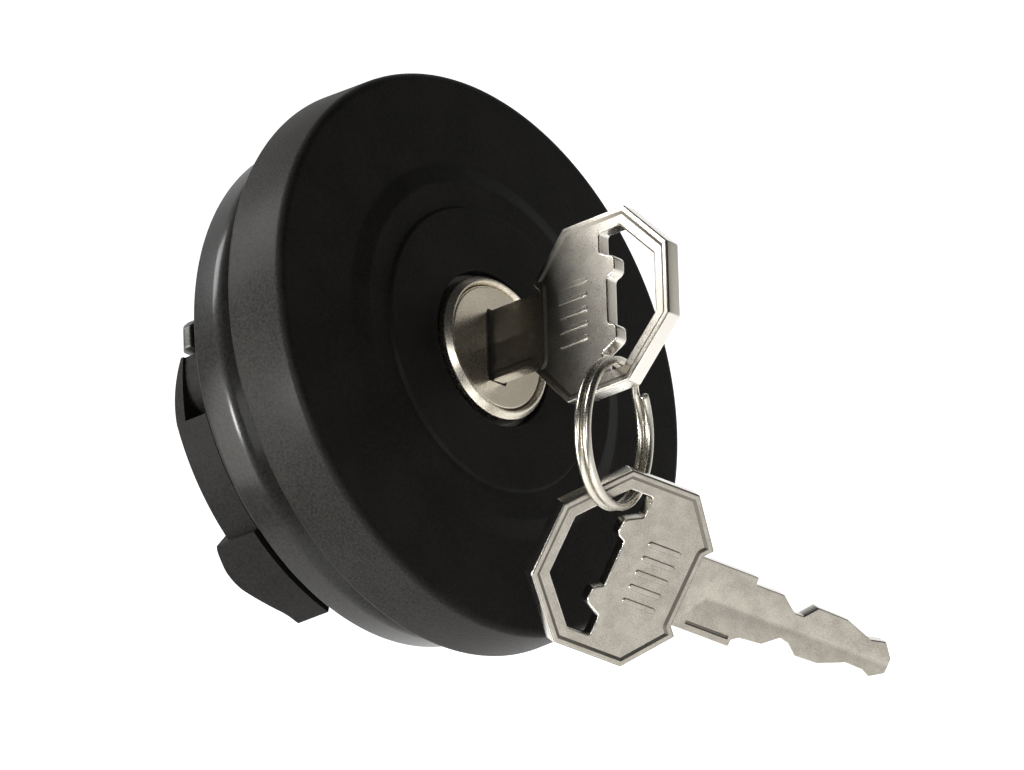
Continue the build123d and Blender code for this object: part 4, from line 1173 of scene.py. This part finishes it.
# %% [markdown]
# ## The locking bolt
# A short tongue stands out of the spigot behind the neck's tab.  Its tip is sloped on the rear
# and at its leading corner so that it can ride over the tab.  It is a bevelled plate seen edge
# on, with a round pin under it for the cam.

# %% Bolt
BOLT_W = 5.0
BOLT_T = 2.5
BOLT_SPAN = (15.0, 34.5)
BOLT_SLOPE = 1.2
BOLT_FACE = -0.1           # its front face
BOLT_EDGE = 0.3
BOLT_NOSE = (2.2, 1.9)     # the tip's leading corner is cut off this far along and across
PIN_R = 1.5
PIN_AT = 17.0
PIN_LOW = -4.8


def make_bolt():
    """Bevelled tongue with a sloped tip, and the pin that the cam carries."""
    top = BOLT_FACE
    near, far = BOLT_SPAN
    tongue = box_mesh("bolt", BOLT_SPAN, (-BOLT_W / 2, BOLT_W / 2), (top - BOLT_T, top))
    bolt = loose("bolt", tongue)
    slope = box_mesh("slope", (0, 4), (-4, 4), (-4, 0))
    slope.transform(Matrix.Translation((far - BOLT_SLOPE, 0, top - BOLT_T)) @ Matrix.Rotation(
        math.radians(-45), 4, "Y"))
    cut(bolt, loose("slope", slope))
    along, across = BOLT_NOSE
    nose = [(far - 2 * along, -BOLT_W / 2 - across), (far + along, -BOLT_W / 2 + 2 * across),
            (far + along, -BOLT_W / 2 - across)]
    nose = prism_mesh("nose", [Vector(p) for p in nose], top - 2 * BOLT_T, top + 1)
    cut(bolt, loose("nose", nose))
    work = bmesh.new()
    work.from_mesh(bolt.data)
    bmesh.ops.bevel(work, geom=list(work.edges), offset=BOLT_EDGE, segments=3, profile=0.5,
                    affect="EDGES")
    work.to_mesh(bolt.data)
    work.free()
    cut(bolt, loose("pin", rod_mesh("pin", PIN_R, PIN_LOW, top - BOLT_T / 2, (PIN_AT, 0))), "UNION")
    bolt.data.transform(Matrix.Rotation(BOLT_ANGLE, 4, "Z"))
    return finish_mesh("bolt", bolt, FINISHES["bolt_zinc"])


stands_for(make_bolt(), "bolt", "bolt_zinc", "locking_bolt")

# %% [markdown]
# ## The lock's face
# The lock shows a rolled stainless ring and, inside it, a thin stainless disc crimped on the
# barrel.  The disc is slightly dished and has a slot for the key, with the keyway dark behind it.
# Both are turned, and the slot is cut out.

# %% Rolled ring
NOSE_R = 9.6
LIP_R = 8.82
LIP_CORE_R = 8.95
LIP_TOP_R = 9.22
LIP_SLOPE = (0.7, 0.85)   # the lip leans in this far, from this far down
LIP_ROUND = 0.25
LIP_UNDER = 0.85


def make_bezel():
    """Ring whose lip rolls over the nose and slopes in to the turning disc."""
    outer, rear, front = node_span("lock_bezel")
    nose_top = rear + 1.4
    lip = front - LIP_UNDER
    outline = rounded([
        (NOSE_R, rear), (outer, rear, 0.15), (outer, front - LIP_SLOPE[1], 0.4),
        (outer - LIP_SLOPE[0], front, LIP_ROUND), (LIP_TOP_R, front, 0.04),
        (LIP_R + 0.12, lip + 0.25, 0.3), (LIP_R, lip, 0.04), (LIP_CORE_R, lip - 0.06),
        (LIP_CORE_R, nose_top), (NOSE_R, nose_top)], 10)
    return finish_mesh("lock_ring", lathe_mesh("lock_ring", outline, 192), FINISHES["lock_steel"],
                       crease=50)


stands_for(make_bezel(), "cap", "lock_steel", "lock_bezel")

# %% Disc with its slot
KEYWAY_ANGLE = math.radians(45)
SLOT_LENGTH = 12.2
SLOT_FLAT = 10.6
SLOT_WIDTH = 3.9
DISH = 0.14
DISC_EDGE = 0.35
DISC_RINGS = 10


def slot_outline():
    """Slot with short round ends, cut flat where the keyway ends."""
    radius = SLOT_WIDTH / 2
    straight = SLOT_LENGTH / 2 - radius
    reach = SLOT_FLAT / 2
    half_chord = math.sqrt(radius ** 2 - (reach - straight) ** 2)
    steps = 8
    points = []
    for side in (1, -1):
        first = math.atan2(half_chord, reach - straight)
        points += [Vector((side * reach, -side * half_chord)),
                   Vector((side * reach, side * half_chord))]
        for k in range(1, steps + 1):
            a = first + (math.pi / 2 - first) * k / steps
            across = straight + radius * math.cos(a)
            points.append(Vector((side * across, side * radius * math.sin(a))))
        for k in range(steps):
            a = math.pi / 2 + (math.pi / 2 - first) * k / steps
            across = straight - radius * math.cos(a)
            points.append(Vector((-side * across, side * radius * math.sin(a))))
    return points


def make_disc():
    """Dished disc turned in many rings, with the slot cut out of it."""
    outer, rear, front = node_span("barrel_cap")
    flat = outer - DISC_EDGE
    corners = [(0, front - DISH)]
    for k in range(1, DISC_RINGS):
        r = flat * k / DISC_RINGS
        corners.append((r, front - DISH * (1 - (r / flat) ** 3)))
    corners += [(flat, front), (outer, front, 0.28), (outer, rear, 0.05), (0, rear)]
    disc = loose("lock_disc", lathe_mesh("lock_disc", rounded(corners[::-1], 6), 192))
    slot = prism_mesh("slot", slot_outline(), rear - 1, front + 1)
    slot.transform(Matrix.Rotation(KEYWAY_ANGLE, 4, "Z"))
    cut(disc, loose("slot", slot))
    return finish_mesh("lock_disc", disc, FINISHES["lock_steel"], crease=25)


stands_for(make_disc(), "barrel", "lock_steel", "barrel_cap")

# %% [markdown]
# ## The keys
# A stamped key is a flat plate whose edges are pressed into bevels, so its outline says almost
# everything: an octagonal bow with a window, a neck and a cut blade.  The neck and blade are a
# little thinner than the bow, which leaves a step where they meet.  The outline is drawn once
# in the key's own plane, and the same mesh is placed twice.  An attribute marks the bevels, so
# that the finish can burnish them.

# %% Key outline
KEY_T = 2.5
SHANK_T = 2.0
BOW_LENGTH = 24.6
BOW_HALF = 12.9
BOW_END_HALF = 5.3
BOW_NECK_HALF = 6.4
BOW_NECK_SLOPE = 5.8
FRAME_W = 2.6
WINDOW_END = 12.4
BADGE_X = 11.2
BADGE_HALF = 7.2
BUMP_Y = 5.0
BUMP_X = 9.7
NECK_LENGTH = 8.4
NECK_HALF = 5.2
NECK_STEP = 23.4
BLADE_LENGTH = 24.4
BLADE_HALF = 4.2
TIP_HALF = 1.1
UPPER_CUTS = ((4.8, 0.0), (7.4, 1.8), (8.9, 1.8), (10.5, 0.0), (15.6, 0.1), (20.2, 1.55),
              (22.6, 1.1))
LOWER_CUTS = ((0.9, 0.6), (4.6, 0.9), (6.9, 2.6), (8.3, 2.3), (10.1, 1.0), (13.9, 1.1), (18.0, 2.6),
              (20.8, 2.5), (22.2, 1.9))


def bow_corners():
    """Octagon that steps in to the neck's width, with slightly rounded corners."""
    shoulder = BOW_HALF - BOW_END_HALF
    waist = BOW_LENGTH - BOW_NECK_SLOPE
    half = [(0, BOW_END_HALF, 0.5), (shoulder, BOW_HALF, 0.5), (waist, BOW_HALF, 0.5),
            (BOW_LENGTH, BOW_NECK_HALF, 0.2), (NECK_STEP, NECK_HALF, 0.15)]
    below = [(x, -y, r) for x, y, r in half]
    return below + half[::-1]


def window_corners():
    """Opening in the bow: straight sides round its end, a bumpy side along the badge."""
    slope = math.sqrt(2) - 1
    end_half = BOW_END_HALF - FRAME_W * slope
    side = BOW_HALF - FRAME_W
    shoulder = FRAME_W + side - end_half
    bump = [(WINDOW_END, BADGE_HALF + 0.2, 0.6), (BUMP_X, BUMP_Y + 1.1, 0.9),
            (BUMP_X, BUMP_Y - 1.1, 0.9), (BADGE_X, BUMP_Y - 1.7, 0.6)]
    half = [(WINDOW_END, side, 0.4)] + bump
    mirrored = [(x, -y, r) for x, y, r in half[::-1]]
    far = [(shoulder, -side, 0.4), (FRAME_W, -end_half, 0.4), (FRAME_W, end_half, 0.4),
           (shoulder, side, 0.4)]
    return half + mirrored + far


def shank_corners():
    """Neck and blade together, with the cuts along both edges."""
    start = BOW_LENGTH + NECK_LENGTH
    root = NECK_STEP - 0.6
    upper = [(start + x, BLADE_HALF - depth, 0.35) for x, depth in UPPER_CUTS]
    lower = [(start + x, depth - BLADE_HALF, 0.35) for x, depth in LOWER_CUTS]
    tip = start + BLADE_LENGTH
    corners = [(root, -NECK_HALF), (start, -NECK_HALF, 0.3), (start, -BLADE_HALF, 0.2)] + lower
    corners += [(tip, -TIP_HALF, 0.5), (tip, TIP_HALF, 0.5)] + upper[::-1]
    return corners + [(start, BLADE_HALF, 0.2), (start, NECK_HALF, 0.3), (root, NECK_HALF)]


# %% Key mesh
RIM_W = 0.75
PANEL_AT = 1.2
PANEL_DEPTH = 0.22
BOW_PROFILE = (*round_edge(0.3), (RIM_W, 0.0), (PANEL_AT, PANEL_DEPTH))
WINDOW_PROFILE = round_edge(0.25, PANEL_DEPTH)
SHANK_PROFILE = round_edge(0.18)
GRIP_COUNT = 5
GRIP_PITCH = 2.1
GRIP_SIZE = (5.4, 0.9, 0.2)      # length, width and height
GRIP_X = 17.4
GROOVE = (1.0, 0.06)              # width and depth
NECK_GROOVE = (0.5, 0.25)
FLAT, SLOPE = 0.95, 0.75          # upright part of a face's direction
NECK_GROOVE_SPAN = (25.2, 32.4)
NECK_GROOVE_Y = -4.0


def groove_mesh(x0, x1, y, width, depth, face):
    """Wedge that cuts a groove with sloped sides into one face of the shank."""
    top = face * SHANK_T / 2
    half = width / 2
    rows = [(half * 0.55, top - face * depth), (half * 1.6, top + face * depth * 1.2)]
    verts = [(x, y + side * w, z) for x in (x0, x1) for w, z in rows for side in (-1, 1)]
    faces = [(0, 1, 3, 2), (4, 6, 7, 5), (0, 4, 5, 1), (2, 3, 7, 6), (0, 2, 6, 4), (1, 5, 7, 3)]
    mesh = bpy.data.meshes.new("groove")
    mesh.from_pydata(verts, [], faces)
    return mesh


def grip_mesh(y):
    """Low rounded bar that stands on the bow's panel, for grip."""
    length, width, height = GRIP_SIZE
    x0, x1 = GRIP_X - length / 2, GRIP_X + length / 2
    low, high = y - width / 2, y + width / 2
    radius = width / 2 - 0.01
    corners = [(x0, low, radius), (x1, low, radius), (x1, high, radius), (x0, high, radius)]
    panel = KEY_T / 2 - PANEL_DEPTH
    return plate_mesh("grip", corners, [], -panel - height, panel + height, round_edge(0.19), None)


def key_mark(polygon):
    """1 on the rounded edges, -1 in the pressed lines and 0 on the flat faces."""
    flat = abs(polygon.normal.z)
    at = polygon.center
    in_line = NECK_GROOVE_SPAN[0] < at.x < NECK_GROOVE_SPAN[1] and abs(at.y - NECK_GROOVE_Y) < 0.3
    if in_line and 0.7 < abs(at.z) < SHANK_T / 2 - 0.01:
        return -1.0
    if flat > FLAT:
        return 0.0
    return -1.0 if flat > SLOPE and BOW_LENGTH > at.x and abs(at.z) > 1.1 else 1.0


def make_key_mesh():
    """Bow and shank joined, grooved on both faces, with the edges and lines marked."""
    bow = loose("bow", plate_mesh("bow", bow_corners(), [window_corners()], -KEY_T / 2, KEY_T / 2,
                                  BOW_PROFILE, WINDOW_PROFILE))
    shank = loose("shank", plate_mesh("shank", shank_corners(), [], -SHANK_T / 2, SHANK_T / 2,
                                      SHANK_PROFILE, None))
    start = BOW_LENGTH + 2
    end = BOW_LENGTH + NECK_LENGTH + BLADE_LENGTH + 1
    for face in (1, -1):
        cut(shank, loose("groove", groove_mesh(start, end, 0, *GROOVE, face)))
        line = groove_mesh(*NECK_GROOVE_SPAN, NECK_GROOVE_Y, *NECK_GROOVE, face)
        cut(shank, loose("groove", line))
    cut(bow, shank, "UNION")
    for k in range(GRIP_COUNT):
        cut(bow, loose("grip", grip_mesh(GRIP_PITCH * (k - (GRIP_COUNT - 1) / 2))), "UNION")
    mesh = bow.data
    mark = mesh.attributes.new("edge", "FLOAT", "CORNER")
    for polygon in mesh.polygons:
        value = key_mark(polygon)
        for corner in polygon.loop_indices:
            mark.data[corner].value = value
    bpy.data.objects.remove(bow)
    return mesh


def placed(at, turns):
    """Place and turns about x, y and z in order, as one matrix in cap millimetres."""
    x, y, z = (Matrix.Rotation(math.radians(t), 4, axis) for t, axis in zip(turns, "XYZ"))
    return Matrix.Translation(at) @ x @ y @ z


# %% [markdown]
# The key in the lock stands on the cap's axis with its width along the keyway.  The ring
# hangs in one corner of its window, and the spare key hangs in the ring by a corner of its own
# window, so each place is worked out from the last.

# %% Places of the keys and the ring
BOW_END_HEIGHT = 56.9
RING_R = 9.85
RING_AT_KEY = (10.22, 1.12)
RING_LIE = (19.66, 5.79, 48.88)
RING_AT_SPARE = (9.29, 2.25)
SPARE_ROUND_RING = math.radians(-149.6)
SPARE_LIE = (21.47, -36.88, -39.73)
WINDOW_HALF = BOW_HALF - FRAME_W

KEY_PLACE = (placed((0, 0, BOW_END_HEIGHT), (0, 0, 45)) @ placed((0, 0, 0), (0, 90, 0))
             @ placed((0, 0, 0), (90, 0, 0)))
key_wire = KEY_PLACE @ Vector((RING_AT_KEY[0], RING_AT_KEY[1] - WINDOW_HALF, 0))
RING_PLACE = placed(key_wire, RING_LIE) @ Matrix.Translation((-RING_R, 0, 0))
spare_wire = RING_PLACE @ Vector((RING_R * math.cos(SPARE_ROUND_RING),
                                  RING_R * math.sin(SPARE_ROUND_RING), 0))
SPARE_PLACE = placed(spare_wire, SPARE_LIE) @ Matrix.Translation(
    (-RING_AT_SPARE[0], RING_AT_SPARE[1] - WINDOW_HALF, 0))
print("ring hangs at", [round(v, 2) for v in key_wire])
print("spare hangs at", [round(v, 2) for v in spare_wire])

# %% Both keys
key_mesh = make_key_mesh()
for name, place, body, node in (("key_in_lock", KEY_PLACE, "key", "key_1"),
                                ("spare_key", SPARE_PLACE, "spare", "key_2")):
    mesh = key_mesh.copy()
    mesh.transform(place)
    stands_for(finish_mesh(name, mesh, FINISHES["key_nickel"], crease=24), body, "key_nickel", node)

# %% [markdown]
# ## The split ring
# The ring is a round wire wound twice, with a step where one turn crosses to the other.  A
# tube follows that path, and its two cut ends stay visible.

# %% Split ring
WIRE_R = 0.6
WIRE_SIDES = 20
TURN_GAP = 0.02
CROSSOVER = 30.0          # degrees of the step, and where its middle lies
CROSSOVER_AT = -30.0
PATH_STEP = 2.5


def ring_path():
    """Points along the wire: one turn, the step over, the other turn."""
    lift = WIRE_R + TURN_GAP
    points = []
    half = 360 - CROSSOVER
    count = int((2 * half + CROSSOVER) / PATH_STEP)
    for k in range(count + 1):
        along = (2 * half + CROSSOVER) * k / count
        t = min(max((along - half) / CROSSOVER, 0.0), 1.0)
        height = lift * (2 * (t * t * (3 - 2 * t)) - 1)
        angle = math.radians(CROSSOVER_AT + CROSSOVER / 2 + along)
        points.append(Vector((RING_R * math.cos(angle), RING_R * math.sin(angle), height)))
    return points


def make_ring():
    """Round tube along the path, with softly ground ends."""
    path = ring_path()
    last = len(path) - 1
    rows = []
    for i, here in enumerate(path):
        ahead = (path[min(i + 1, last)] - path[max(i - 1, 0)]).normalized()
        side = Vector((here.x, here.y, 0)).normalized()
        up = side.cross(ahead).normalized()
        side = ahead.cross(up)
        rows.append((here, side, up, ahead, WIRE_R))
    start, end = rows[0], rows[last]
    rows.insert(0, (start[0] - start[3] * 0.12, *start[1:4], WIRE_R * 0.82))
    rows.append((end[0] + end[3] * 0.12, *end[1:4], WIRE_R * 0.82))
    verts = []
    for here, side, up, _, radius in rows:
        for k in range(WIRE_SIDES):
            a = TURN * k / WIRE_SIDES
            verts.append(here + side * (radius * math.cos(a)) + up * (radius * math.sin(a)))
    faces = [tuple(range(WIRE_SIDES)), tuple(range(len(verts) - WIRE_SIDES, len(verts)))[::-1]]
    for i in range(len(rows) - 1):
        for k in range(WIRE_SIDES):
            n = (k + 1) % WIRE_SIDES
            a, b = i * WIRE_SIDES, (i + 1) * WIRE_SIDES
            faces.append((a + k, b + k, b + n, a + n))
    mesh = bpy.data.meshes.new("split_ring")
    mesh.from_pydata(verts, [], faces)
    mesh.transform(RING_PLACE)
    return finish_mesh("key_ring", mesh, FINISHES["ring_steel"], crease=50)


stands_for(make_ring(), "ring", "ring_steel", "split_ring")
print("pieces:", PLACED)
